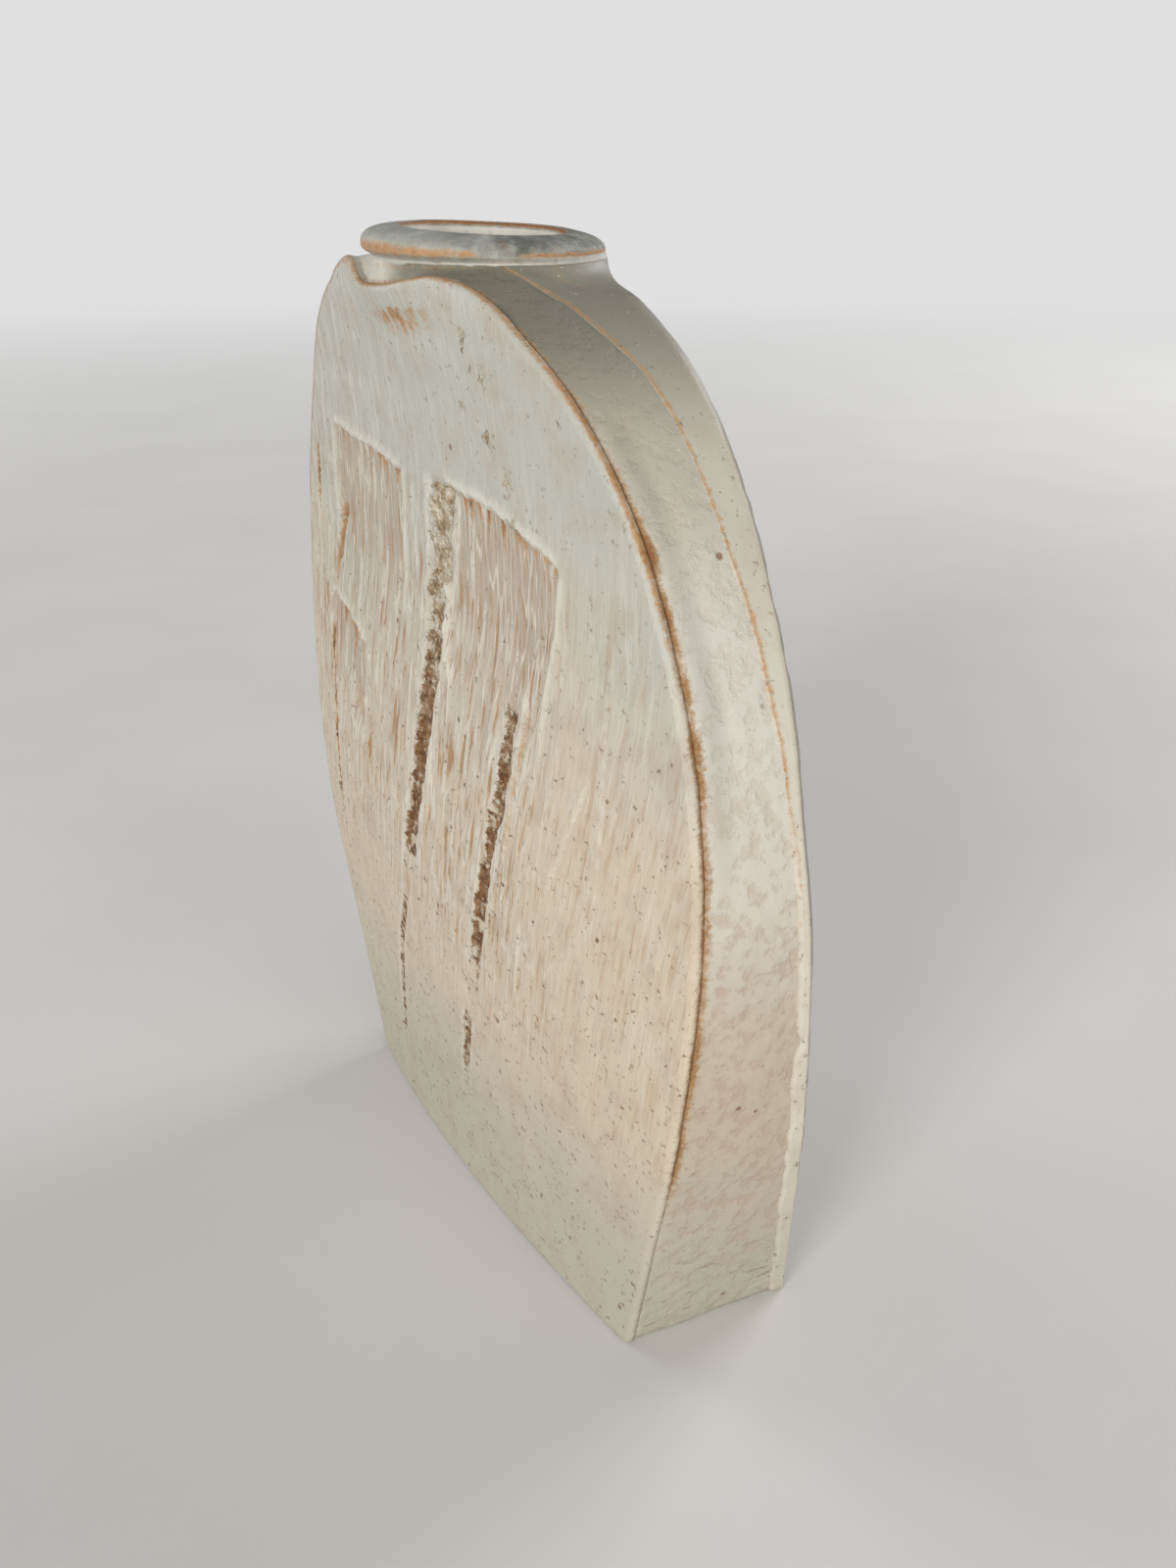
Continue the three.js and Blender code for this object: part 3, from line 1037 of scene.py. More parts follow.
def dome_row(t, end, before, settings):
    """One row of the back slab under the neck, from the shoulder's end up to the ring."""
    total = len(end) - 1
    outer = []
    for k, spot in enumerate(end):
        bearing = mix(SEAM_BEARING, 360 - SEAM_BEARING, k / total)
        target = unleaned(ring_place(bearing))
        if k == 0:
            place = seam_top(1, t)
        elif k == total:
            place = seam_top(-1, t)
        else:
            reach = (target - spot.place).length
            way = (spot.place - before[k].place).normalized()
            side = 1 if bearing < 180 else -1
            from_seam = 180 - SEAM_BEARING - abs(180 - bearing)
            last_way = ring_way(bearing).lerp(seam_way(side), ease(26, 0, from_seam)) * reach
            place = hermite(spot.place, way * reach * 0.65, target, last_way, t)
        radial = -Vector((ring_way(bearing).x, ring_way(bearing).y, 0)).normalized()
        out = spot.out.lerp((radial + Vector((0, 0, 0.5))).normalized(), ease(0, 1, t)).normalized()
        masks = dict(spot.masks)
        raise_mask(masks, "thick_glaze_and_shade", ease(0.1, 0.8, t))
        outer.append(Spot(place, out, masks))
    return back_loop(outer, settings, mix(WALL, 4, t))


def back_rows(settings):
    def row_at(length):
        return back_loop(back_outer(length, settings), settings)

    last = outline.length_where(SHOULDER_END)
    rows = rising_rows(row_at, last, settings.body_rows)
    end = back_outer(last, settings)
    before = back_outer(last - 3, settings)
    count = settings.dome_rows
    rows.extend(dome_row(i / count, end, before, settings) for i in range(1, count + 1))
    return rows


# The neck collar

def collar_profile():
    """Radius and height round the collar's wall, from inside the throat over the lip to the shoulder."""
    return smooth_run([
        (19.6, 268), (20.2, 276), (20.6, 283), (20.4, 288), (19.9, 290.6), (20.1, 292.1), (20.9, 293),
        (22.4, 293.3), (25, 293.0), (27.6, 292.4), (29.7, 291.5), (30.9, 290.3), (31.2, 289), (31.0, 287.9),
        (30.4, 287.1), (30.1, 286.6), (30, 286), (29.6, 285), (28, 282), (25, 278),
    ], 7)


def collar_masks(radius, z, bearing):
    """The neck's glaze: rust round the mouth and under the lip, and a pale throat."""
    ragged = 0.5 * grain(math.sin(bearing) * 9, math.cos(bearing) * 9, 0, 91)
    mouth = bell(radius - 20.8, 0.8) * ease(292.0, 292.9, z)
    turn = math.degrees(bearing)
    wide = mix(1.0, 1.9, ease(75, 0, turn) * ease(-180, -90, turn))
    under = bell(z - 288.9 - 0.7 * ragged, wide) * ease(29, 30.4, radius)
    gap = 1 - 0.9 * bell(turn - 70, 9)
    return {
        "rust": max(1.1 * mouth, 0.6 * under * gap * (1 + 0.3 * ragged)),
        "scrape": ease(21.0, 20.2, radius) * ease(292.6, 291.6, z),
        "flow": bearing * 0.03,
    }


def collar_place(x, y, z, bearing, settings):
    """A place of the turned profile, flared out behind, tilted at the mouth and made uneven by hand."""
    radius = math.hypot(x, y)
    flare = (ring_radius(bearing) - RING_RADIUS) * ease(288.4, 286.3, z)
    flare *= ease(25, 28, radius)
    x += flare * math.sin(bearing)
    y -= flare * math.cos(bearing)
    tilt = x * settings.mouth_tilt_right + y * settings.mouth_tilt_back
    uneven = 0.35 * grain(x / 14, y / 14, z / 14, 95) + 0.10 * grain(x / 4, y / 4, z / 4, 96)
    throwing = 0.10 * math.sin(z * 2.2 + bearing) * ease(29, 24, radius)
    free = ease(285.5, 289, z)
    swell = 1 + (uneven * free + throwing) / RING_RADIUS
    fall = tilt * ease(284, 293, z)
    return Vector((NECK_X + x * swell, NECK_Y + y * swell, z - fall + 0.25 * uneven * free))


def collar_piece(settings):
    bm = bmesh.new()
    ring = [bm.verts.new((point.x * MM, 0, point.y * MM)) for point in collar_profile()]
    edges = [bm.edges.new((a, b)) for a, b in zip(ring, ring[1:])]
    edges.append(bm.edges.new((ring[-1], ring[0])))
    bmesh.ops.spin(
        bm, geom=ring + edges, cent=(0, 0, 0), axis=(0, 0, 1), dvec=(0, 0, 0), angle=math.tau,
        steps=settings.collar_steps, use_merge=True, use_normal_flip=False, use_duplicate=False,
    )
    bmesh.ops.remove_doubles(bm, verts=bm.verts, dist=MERGE_DISTANCE)
    layers = mask_layers(bm)
    for vert in bm.verts:
        x, y, z = vert.co / MM
        bearing = math.atan2(x, -y)
        write_masks(vert, layers, collar_masks(math.hypot(x, y), z, bearing))
        vert.co = hand_wobble(collar_place(x, y, z, bearing, settings), settings.wobble / MM) * MM
    bmesh.ops.recalc_face_normals(bm, faces=bm.faces)
    return finished("neck_collar_glazed", bm)


# The base

def base_piece():
    """The flat base, with a soft edge, filling the foot between the walls."""
    bm = bmesh.new()
    bmesh.ops.create_grid(bm, x_segments=60, y_segments=16, size=0.5)
    half = FOOT_HALF_WIDTH - WALL
    front = FRONT_RIM[0][0] + WALL - 1
    back = BACK_RIM[0][0] - WALL + 1
    for vert in bm.verts:
        u = vert.co.x * 2
        v = vert.co.y + 0.5
        y_front = front - FRONT_CROWN[0][0] * (1 - u * u)
        y_back = back + BACK_CROWN[0][0] * math.sqrt(max(0, 1 - u * u * 0.95))
        x = u * half * (1 + BACK_FLARE * v)
        y = mix(y_front, y_back, v)
        dent = 0.25 + 0.2 * grain(x / 22, y / 22, 0, 97)
        edge = ease(0, 0.12, min(v, 1 - v, (1 - abs(u)) * 2))
        vert.co = Vector((x, y, dent * edge)) * MM
    bottom = list(bm.faces)
    bmesh.ops.solidify(bm, geom=bottom, thickness=-WALL * MM)
    bmesh.ops.recalc_face_normals(bm, faces=bm.faces)
    return finished("base_slab_clay", bm)


# Node tools

class Nodes:
    """Short ways to add and join the nodes of one tree."""

    def __init__(self, tree):
        self.tree = tree

    def add(self, kind, inputs=None, **settings):
        made = self.tree.nodes.new(kind)
        for key, value in settings.items():
            setattr(made, key, value)
        for key, value in (inputs or {}).items():
            self.feed(made.inputs[key], value)
        return made

    def feed(self, socket, value):
        if isinstance(value, bpy.types.NodeSocket):
            self.tree.links.new(value, socket)
        elif socket.type == "RGBA":
            socket.default_value = (*value[:3], 1)
        else:
            socket.default_value = value

    def math(self, operation, a, b=0.0):
        return self.add("ShaderNodeMath", {0: a, 1: b}, operation=operation).outputs[0]

    def plus(self, a, b):
        return self.math("ADD", a, b)

    def minus(self, a, b):
        return self.math("SUBTRACT", a, b)

    def times(self, a, b):
        return self.math("MULTIPLY", a, b)

    def blend(self, share, a, b):
        made = self.add("ShaderNodeMix", {0: share, 6: a, 7: b}, data_type="RGBA")
        return made.outputs[2]

    def ramp(self, value, low, high):
        inputs = {"Value": value, "From Min": low, "From Max": high}
        return self.add("ShaderNodeMapRange", inputs, interpolation_type="SMOOTHSTEP").outputs[0]

    def noise(self, place, scale, detail=2.0, roughness=0.5):
        inputs = {"Vector": place, "Scale": scale, "Detail": detail, "Roughness": roughness}
        return self.add("ShaderNodeTexNoise", inputs).outputs[0]

    def voronoi(self, place, scale):
        return self.add("ShaderNodeTexVoronoi", {"Vector": place, "Scale": scale})

    def parts(self, vector):
        return self.add("ShaderNodeSeparateXYZ", {0: vector}).outputs

    def vector(self, x, y, z):
        return self.add("ShaderNodeCombineXYZ", {0: x, 1: y, 2: z}).outputs[0]


def shared_group(name, inputs, outputs):
    """Makes a node group once, from a function that takes Nodes and inputs and returns the outputs."""

    def wrap(build):
        def tree():
            made = bpy.data.node_groups.get(name)
            if made:
                return made
            made = bpy.data.node_groups.new(name, "ShaderNodeTree")
            for title, kind in inputs.items():
                made.interface.new_socket(name=title, in_out="INPUT", socket_type=kind)
            for title, kind in outputs.items():
                made.interface.new_socket(name=title, in_out="OUTPUT", socket_type=kind)
            nodes = Nodes(made)
            nodes.add("NodeGroupOutput", build(nodes, nodes.add("NodeGroupInput").outputs))
            return made
        return tree
    return wrap


VALUE = "NodeSocketFloat"
COLOUR = "NodeSocketColor"
VECTOR = "NodeSocketVector"


@shared_group(
    "glaze_drift",
    {"Place": VECTOR, "Cool": COLOUR, "Warm": COLOUR, "Deep": COLOUR, "Cloud": COLOUR, "Cloudiness": VALUE},
    {"Colour": COLOUR},
)
def glaze_drift(nodes, inputs):
    """Slow drift of the glaze colour: cool and thick above, warm in the middle, greyish near the foot."""
    place = inputs["Place"]
    height = nodes.parts(place)[2]
    patch = nodes.minus(nodes.noise(place, 21, 2.0), 0.5)
    upper = nodes.plus(height, nodes.times(patch, 0.13))
    lower = nodes.plus(height, nodes.times(patch, 0.06))
    colour = nodes.blend(nodes.ramp(upper, 0.145, 0.245), inputs["Warm"], inputs["Cool"])
    colour = nodes.blend(nodes.ramp(lower, 0.085, 0.02), colour, inputs["Deep"])
    cloud = nodes.ramp(nodes.noise(place, 95, 4.0, 0.6), 0.42, 0.72)
    return {"Colour": nodes.blend(nodes.times(cloud, inputs["Cloudiness"]), colour, inputs["Cloud"])}


@shared_group(
    "combed_grain", {"Place": VECTOR, "Flow": VALUE, "Strength": VALUE},
    {"Valley": VALUE, "Ridge": VALUE, "Relief": VALUE},
)
def combed_grain(nodes, inputs):
    """Long combed streaks that follow the flow value: where they cut deep, and how high they stand."""
    height = nodes.parts(inputs["Place"])[2]
    near = nodes.vector(inputs["Flow"], 0.0, nodes.times(height, 0.10))
    far = nodes.vector(inputs["Flow"], 0.5, nodes.times(height, 0.07))
    crisp = nodes.noise(near, 560, 3.0, 0.65)
    broad = nodes.noise(far, 210, 2.0)
    both = nodes.plus(nodes.times(crisp, 0.7), nodes.times(broad, 0.3))
    patch = nodes.ramp(nodes.noise(inputs["Place"], 42, 3.0), 0.25, 0.55)
    valley = nodes.times(nodes.ramp(both, 0.48, 0.41), inputs["Strength"])
    away = nodes.math("ABSOLUTE", nodes.minus(nodes.noise(near, 360, 1.0), 0.5))
    wisp = nodes.ramp(away, 0.05, 0.015)
    crest = nodes.math("MAXIMUM", nodes.ramp(both, 0.56, 0.63), wisp)
    raised = nodes.plus(both, nodes.times(wisp, 0.12))
    return {
        "Valley": nodes.times(valley, patch),
        "Ridge": nodes.times(crest, inputs["Strength"]),
        "Relief": nodes.times(raised, inputs["Strength"]),
    }


@shared_group(
    "iron_break",
    {"Place": VECTOR, "Amount": VALUE, "Scale": VALUE, "Grit": VALUE, "Start": VALUE, "Full": VALUE},
    {"Share": VALUE},
)
def iron_break(nodes, inputs):
    """Breaks a soft mask into the grainy edge that iron shows where it comes through the glaze."""
    grit = nodes.minus(nodes.noise(inputs["Place"], inputs["Scale"], 3.0, 0.7), 0.5)
    value = nodes.plus(inputs["Amount"], nodes.times(grit, inputs["Grit"]))
    return {"Share": nodes.ramp(value, inputs["Start"], inputs["Full"])}


@shared_group(
    "iron_specks", {"Place": VECTOR, "Scale": VALUE, "Share": VALUE, "Size": VALUE}, {"Mask": VALUE},
)
def iron_specks(nodes, inputs):
    """Scattered specks of iron, each in its own cell and of its own size."""
    cells = nodes.voronoi(inputs["Place"], inputs["Scale"])
    chance = nodes.add("ShaderNodeSeparateColor", {0: cells.outputs["Color"]}).outputs
    present = nodes.math("LESS_THAN", chance[0], inputs["Share"])
    size = nodes.times(nodes.plus(chance[1], 0.35), inputs["Size"])
    spot = nodes.ramp(cells.outputs["Distance"], size, nodes.times(size, 0.45))
    return {"Mask": nodes.times(spot, present)}


@shared_group("glaze_skin", {"Place": VECTOR}, {"Relief": VALUE})
def glaze_skin(nodes, inputs):
    """The fine surface of a matt ash glaze: soft orange peel and pinholes."""
    pits = nodes.ramp(nodes.voronoi(inputs["Place"], 520).outputs["Distance"], 0.05, 0.22)
    return {"Relief": nodes.plus(nodes.noise(inputs["Place"], 360, 3.0, 0.55), nodes.times(pits, 0.35))}


class Finish(Nodes):
    """A material in the making, with its place, its masks and its layers of colour and relief."""

    def __init__(self, name):
        self.material = bpy.data.materials.new(name)
        self.material.use_nodes = True
        super().__init__(self.material.node_tree)
        self.shader = self.tree.nodes["Principled BSDF"]
        self.place = self.add("ShaderNodeTexCoord").outputs["Object"]
        self.height = self.parts(self.place)[2]
        self.colour = None
        self.relief = 0.0
        self.roughness = 0.5

    def mask(self, name):
        return self.add("ShaderNodeAttribute", attribute_name=name).outputs["Fac"]

    def group(self, tree, inputs=None):
        made = self.add("ShaderNodeGroup", node_tree=tree)
        for key, value in {"Place": self.place, **(inputs or {})}.items():
            self.feed(made.inputs[key], value)
        return made.outputs

    def drift(self, cool, warm, deep, cloud, cloudiness):
        """Starts with the slowly drifting colour of the glaze."""
        inputs = {"Cool": cool, "Warm": warm, "Deep": deep, "Cloud": cloud, "Cloudiness": cloudiness}
        self.colour = self.group(glaze_drift(), inputs)["Colour"]

    def broken(self, amount, scale, grit, start, full):
        """Where a soft mask shows, with a grainy edge."""
        inputs = {"Amount": amount, "Scale": scale, "Grit": grit, "Start": start, "Full": full}
        return self.group(iron_break(), inputs)["Share"]

    def specks(self, scale, share, size):
        return self.group(iron_specks(), {"Scale": scale, "Share": share, "Size": size})["Mask"]

    def cloud(self, scale, detail, roughness, low, high):
        """Where cloudy noise rises from the low value to the high one."""
        return self.ramp(self.noise(self.place, scale, detail, roughness), low, high)

    def cover(self, share, colour, strength=1.0):
        """Lays a colour over the rest, where share says."""
        if strength != 1.0:
            share = self.times(share, strength)
        self.colour = self.blend(share, self.colour, colour)

    def raise_by(self, value, millimetres):
        self.relief = self.plus(self.relief, self.times(value, millimetres))

    def dry(self, share, amount):
        """Makes the surface rougher where share says."""
        self.roughness = self.plus(self.roughness, self.times(share, amount))

    def finish(self, specular=0.42):
        bump = self.add("ShaderNodeBump", {"Strength": 1.0, "Distance": MM, "Height": self.relief})
        self.feed(self.shader.inputs["Base Color"], self.colour)
        self.feed(self.shader.inputs["Roughness"], self.roughness)
        self.feed(self.shader.inputs["Normal"], bump.outputs[0])
        self.shader.inputs["Specular IOR Level"].default_value = specular
        return self.material


def paint(red, green, blue):
    """A colour in linear light, from the numbers that a picture shows, out of 255."""
    return tuple(((part / 255 + 0.055) / 1.055) ** 2.4 for part in (red, green, blue))


def lay_rust(finish, settings):
    """The orange-brown line where the glaze runs thin over an edge, with a deeper heart."""
    rust = finish.mask("rust")
    soft = finish.broken(rust, 620.0, 0.9, 0.18, 0.66)
    heart = finish.broken(rust, 900.0, 1.3, 0.48, 1.0)
    finish.cover(soft, settings.rust_pale)
    finish.cover(heart, settings.rust_deep, 0.85)
    finish.raise_by(soft, -0.05)
    finish.dry(soft, 0.08)


def lay_crease(finish, settings):
    """The brown granular line where the glaze has pulled back in a crease."""
    pool = finish.mask("pool")
    crease = finish.broken(pool, 700.0, 1.5, 0.30, 0.95)
    deep = finish.broken(pool, 900.0, 2.0, 0.8, 1.2)
    finish.cover(crease, settings.crease_brown, 0.9)
    finish.cover(deep, settings.rust_deep, 0.8)
    finish.dry(crease, 0.2)


def lay_specks(finish, settings, share, size):
    """Small iron specks, denser low down."""
    low = finish.times(finish.ramp(finish.height, 0.15, 0.07), share)
    specks = finish.specks(400.0, finish.plus(low, share * 0.12), size * 2.4)
    dots = finish.specks(120.0, 0.16, size * 1.1)
    finish.cover(specks, settings.speck_brown, 0.45)
    finish.cover(dots, settings.speck_brown, 0.85)
    finish.raise_by(dots, -0.05)


def lay_skin(finish, amount):
    finish.raise_by(finish.group(glaze_skin())["Relief"], amount)


def lay_gouges(finish, settings):
    """The dark, coarse fill of the gouges: iron brown and olive grit with crumbs of white glaze."""
    share = finish.broken(finish.mask("iron"), 420.0, 2.6, 0.28, 0.62)
    grit = finish.noise(finish.place, 430, 5.0, 0.75)
    lower = finish.times(finish.ramp(finish.height, 0.225, 0.135), 0.24)
    patch = finish.ramp(finish.plus(finish.noise(finish.place, 150, 6.0, 0.8), lower), 0.45, 0.74)
    olive = finish.blend(finish.ramp(grit, 0.38, 0.62), settings.gouge_olive, settings.gouge_tan)
    brown = finish.blend(finish.ramp(grit, 0.36, 0.66), settings.gouge_dark, settings.gouge_brown)
    fill = finish.blend(patch, olive, brown)
    coarse = finish.noise(finish.place, 520, 5.0, 0.75)
    crumbs = finish.ramp(finish.minus(coarse, finish.times(patch, 0.1)), 0.48, 0.60)
    finish.cover(share, finish.blend(finish.times(crumbs, 0.8), fill, settings.glaze_white))
    finish.raise_by(finish.times(share, grit), 0.45)
    finish.dry(share, 0.3)


def face_glaze(name, settings, cool, warm, ochre_share=0.9, shade=0.0):
    """The ash glaze of a combed face, with its grain, scraped planes, gouges and worn edges."""
    finish = Finish(name)
    finish.drift(cool, warm, settings.glaze_deep, settings.glaze_pink, 0.45)
    finish.cover(finish.mask("scrape"), settings.glaze_pink, 0.75)
    combed = finish.group(combed_grain(), {"Flow": finish.mask("flow"), "Strength": finish.mask("comb")})
    low = finish.ramp(finish.height, 0.25, 0.19)
    ochre = finish.plus(finish.times(low, ochre_share - 0.2), 0.2)
    finish.cover(finish.times(combed["Valley"], ochre), settings.ochre)
    finish.cover(combed["Ridge"], settings.glaze_white, 0.6)
    finish.cover(finish.mask("thick_glaze_and_shade"), settings.glaze_white, 0.75)
    # Painted shade towards the top, where the shoulders face up near the neck, partly a greyer glaze
    if shade > 0:
        finish.cover(finish.ramp(finish.height, 0.244, 0.284), settings.grey_glaze_and_shade, shade)
    finish.raise_by(combed["Relief"], 1.5)
    lay_skin(finish, 0.1)
    lay_specks(finish, settings, 0.6, 0.11)
    lay_rust(finish, settings)
    lay_crease(finish, settings)
    lay_gouges(finish, settings)
    return finish.finish()


def strip_glaze(settings):
    """The glaze of the side strips: lilac-white in the middle, blistered, with mottles of pinkish brown."""
    finish = Finish("strip_glaze")
    finish.drift(settings.glaze_deep, settings.band_cream, settings.glaze_deep, settings.band_cream, 0.35)
    wander = finish.times(finish.noise(finish.place, 26, 2.0), 0.05)
    height = finish.plus(finish.height, wander)
    middle = finish.times(finish.ramp(height, 0.125, 0.20), finish.ramp(height, 0.285, 0.235))
    finish.cover(middle, settings.band_white, 0.9)
    mottle = finish.cloud(230, 5.0, 0.62, 0.46, 0.66)
    zone = finish.times(finish.ramp(height, 0.03, 0.08), finish.ramp(height, 0.22, 0.15))
    everywhere = finish.plus(finish.times(zone, 0.7), 0.16)
    finish.cover(finish.times(mottle, everywhere), settings.mottle)
    # Painted shade, partly a greyer glaze: the shade colour over the strips by the neck, behind the front
    # edge and on their inner faces
    finish.cover(finish.mask("thick_glaze_and_shade"), settings.grey_glaze_and_shade, 0.6)
    finish.cover(finish.mask("scrape"), settings.glaze_white, 0.85)
    finish.raise_by(mottle, -0.2)
    lay_foot_crackle(finish, settings)
    lay_skin(finish, 0.1)
    lay_specks(finish, settings, 0.18, 0.1)
    lay_rust(finish, settings)
    lay_crease(finish, settings)
    return finish.finish()


def lay_foot_crackle(finish, settings):
    """The crackle near the foot, stretched out level."""
    x, y, z = finish.parts(finish.place)[:3]
    stretched = finish.vector(x, finish.times(y, 0.3), finish.times(z, 1.6))
    crackle = finish.ramp(finish.noise(stretched, 210, 4.0, 0.6), 0.40, 0.33)
    crackle = finish.times(crackle, finish.ramp(finish.height, 0.045, 0.02))
    finish.cover(crackle, settings.speck_brown, 0.35)
    finish.raise_by(crackle, -0.25)


def neck_glaze(settings):
    """The thick, cool glaze of the neck, which breaks to rust at the lip and the mouth; its grey is
    darkened with painted shade, and its front is made paler with painted light.
    """
    finish = Finish("neck_glaze")
    cloud = finish.cloud(150, 5.0, 0.65, 0.36, 0.84)
    finish.colour = finish.blend(cloud, settings.neck_grey_and_shade, settings.glaze_cool)
    finish.roughness = 0.6
    finish.cover(finish.ramp(finish.height, 0.2885, 0.2865), settings.glaze_white, 0.7)
    # Painted light: the neck's front is made paler than its shaded sides and back
    front = finish.ramp(finish.parts(finish.place)[1], -0.012, -0.032)
    finish.cover(front, settings.glaze_cool, 0.55)
    finish.cover(finish.cloud(240, 6.0, 0.8, 0.53, 0.66), settings.gouge_olive, 0.5)
    finish.raise_by(finish.noise(finish.place, 110, 2.0), 0.12)
    lay_skin(finish, 0.12)
    lay_specks(finish, settings, 0.16, 0.1)
    inside = finish.mask("scrape")
    finish.cover(inside, settings.glaze_white, 0.8)
    finish.cover(finish.times(finish.specks(420.0, 0.5, 0.3), inside), settings.speck_brown, 0.25)
    lay_rust(finish, settings)
    return finish.finish(0.5)


def bare_clay(settings):
    """Unglazed stoneware: gritty, with darker burnt patches and pale grog."""
    finish = Finish("bare_clay")
    burn = finish.cloud(38, 4.0, 0.6, 0.35, 0.7)
    finish.colour = finish.blend(burn, settings.clay, settings.clay_burnt)
    finish.roughness = 0.8
    grog = finish.specks(520.0, 0.4, 0.3)
    finish.cover(grog, settings.ochre, 0.5)
    finish.raise_by(grog, 0.12)
    finish.raise_by(finish.noise(finish.place, 900, 4.0, 0.65), 0.3)
    lay_specks(finish, settings, 0.3, 0.12)
    finish.dry(burn, 0.05)
    return finish.finish(0.25)


# The stage

# The camera: its place in millimetres, and the ways that are right, up and ahead in its picture
CAMERA_PLACE = (359.346, -181.516, 311.627)
CAMERA_RIGHT = (0.496512, 0.868030, -0.000835)
CAMERA_UP = (-0.344417, 0.197889, 0.917724)
CAMERA_AHEAD = (-0.796777, 0.455373, -0.397219)
CAMERA_LENS = 33.75
SENSOR_HEIGHT = 36
FLOOR_HALF = 30

# The lamps in metres and watts, as (name, place, size, power), all turned to the middle of the vase
LAMPS = [
    ("key", (1.9, -2.8, 1.15), 1.1, 74),
    ("fill", (-2.3, -1.3, 1.1), 1.2, 17),
    ("side", (2.5, 0.1, 0.7), 1.2, 20),
    ("rear", (-0.6, 2.6, 1.3), 1.4, 40),
]
LAMP_AIM = (0, 0, 0.15)


def add_camera():
    data = bpy.data.cameras.new("photo_view")
    data.sensor_fit = "VERTICAL"
    data.sensor_height = SENSOR_HEIGHT
    data.lens = CAMERA_LENS
    camera = bpy.data.objects.new("photo_view", data)
    bpy.context.scene.collection.objects.link(camera)
    right, up, back = Vector(CAMERA_RIGHT), Vector(CAMERA_UP), -Vector(CAMERA_AHEAD)
    turn = Matrix((right, up, back)).transposed().to_4x4()
    camera.matrix_world = Matrix.Translation(Vector(CAMERA_PLACE) * MM) @ turn
    bpy.context.scene.camera = camera


def add_lamp(name, place, size, power):
    data = bpy.data.lights.new(name, "AREA")
    data.shape = "SQUARE"
    data.size = size
    data.energy = power
    lamp = bpy.data.objects.new(name, data)
    bpy.context.scene.collection.objects.link(lamp)
    way = Vector(LAMP_AIM) - Vector(place)
    lamp.rotation_euler = way.to_track_quat("-Z", "Y").to_euler()
    lamp.location = place


def backdrop_material(settings):
    """The floor near the vase takes its shadow, and runs out into the backdrop's colour far away."""
    material = bpy.data.materials.new("pale_floor")
    material.use_nodes = True
    nodes = Nodes(material.node_tree)
    shader = nodes.tree.nodes["Principled BSDF"]
    place = nodes.add("ShaderNodeTexCoord").outputs["Object"]
    cloud = nodes.ramp(nodes.noise(place, 6, 3.0), 0.3, 0.7)
    nodes.feed(shader.inputs["Base Color"], nodes.blend(cloud, settings.floor_colour, settings.floor_cloud))
    shader.inputs["Roughness"].default_value = 0.9
    shader.inputs["Specular IOR Level"].default_value = 0.2
    distance = nodes.add("ShaderNodeVectorMath", {0: place}, operation="LENGTH").outputs["Value"]
    seen = nodes.add("ShaderNodeLightPath").outputs["Is Camera Ray"]
    far = nodes.times(nodes.ramp(distance, 0.7, 3.2), seen)
    glow = nodes.add("ShaderNodeEmission", {"Color": settings.backdrop_colour, "Strength": 1.0})
    mixed = nodes.add("ShaderNodeMixShader", {0: far, 1: shader.outputs[0], 2: glow.outputs[0]})
    output = nodes.tree.nodes["Material Output"]
    nodes.feed(output.inputs["Surface"], mixed.outputs[0])
    return material


def add_floor(settings):
    bm = bmesh.new()
    bmesh.ops.create_grid(bm, x_segments=1, y_segments=1, size=FLOOR_HALF)
    bmesh.ops.translate(bm, verts=bm.verts, vec=(0, 0, -0.05 * MM))
    floor = finished("floor", bm)
    floor.data.materials.append(backdrop_material(settings))


def add_world(settings):
    """A soft, even sky light, with the backdrop's colour where the camera sees past the floor."""
    world = bpy.data.worlds.new("studio")
    world.use_nodes = True
    nodes = Nodes(world.node_tree)
    light = nodes.tree.nodes["Background"]
    nodes.feed(light.inputs["Color"], settings.sky_colour)
    light.inputs["Strength"].default_value = settings.sky_strength
    shown = nodes.add("ShaderNodeBackground", {"Color": settings.backdrop_colour, "Strength": 1.0})
    seen = nodes.add("ShaderNodeLightPath").outputs["Is Camera Ray"]
    mixed = nodes.add("ShaderNodeMixShader", {0: seen, 1: light.outputs[0], 2: shown.outputs[0]})
    nodes.feed(nodes.tree.nodes["World Output"].inputs["Surface"], mixed.outputs[0])
    bpy.context.scene.world = world


def colour_property(name, description, red, green, blue):
    return bpy.props.FloatVectorProperty(
        name=name, description=description, default=paint(red, green, blue), subtype="COLOR", min=0, max=1,
    )


def length_property(name, description, default):
    return bpy.props.FloatProperty(name=name, description=description, default=default, unit="LENGTH")


def number_property(name, description, default):
    return bpy.props.FloatProperty(name=name, description=description, default=default)


def count_property(name, description, default):
    return bpy.props.IntProperty(name=name, description=description, default=default, min=2)


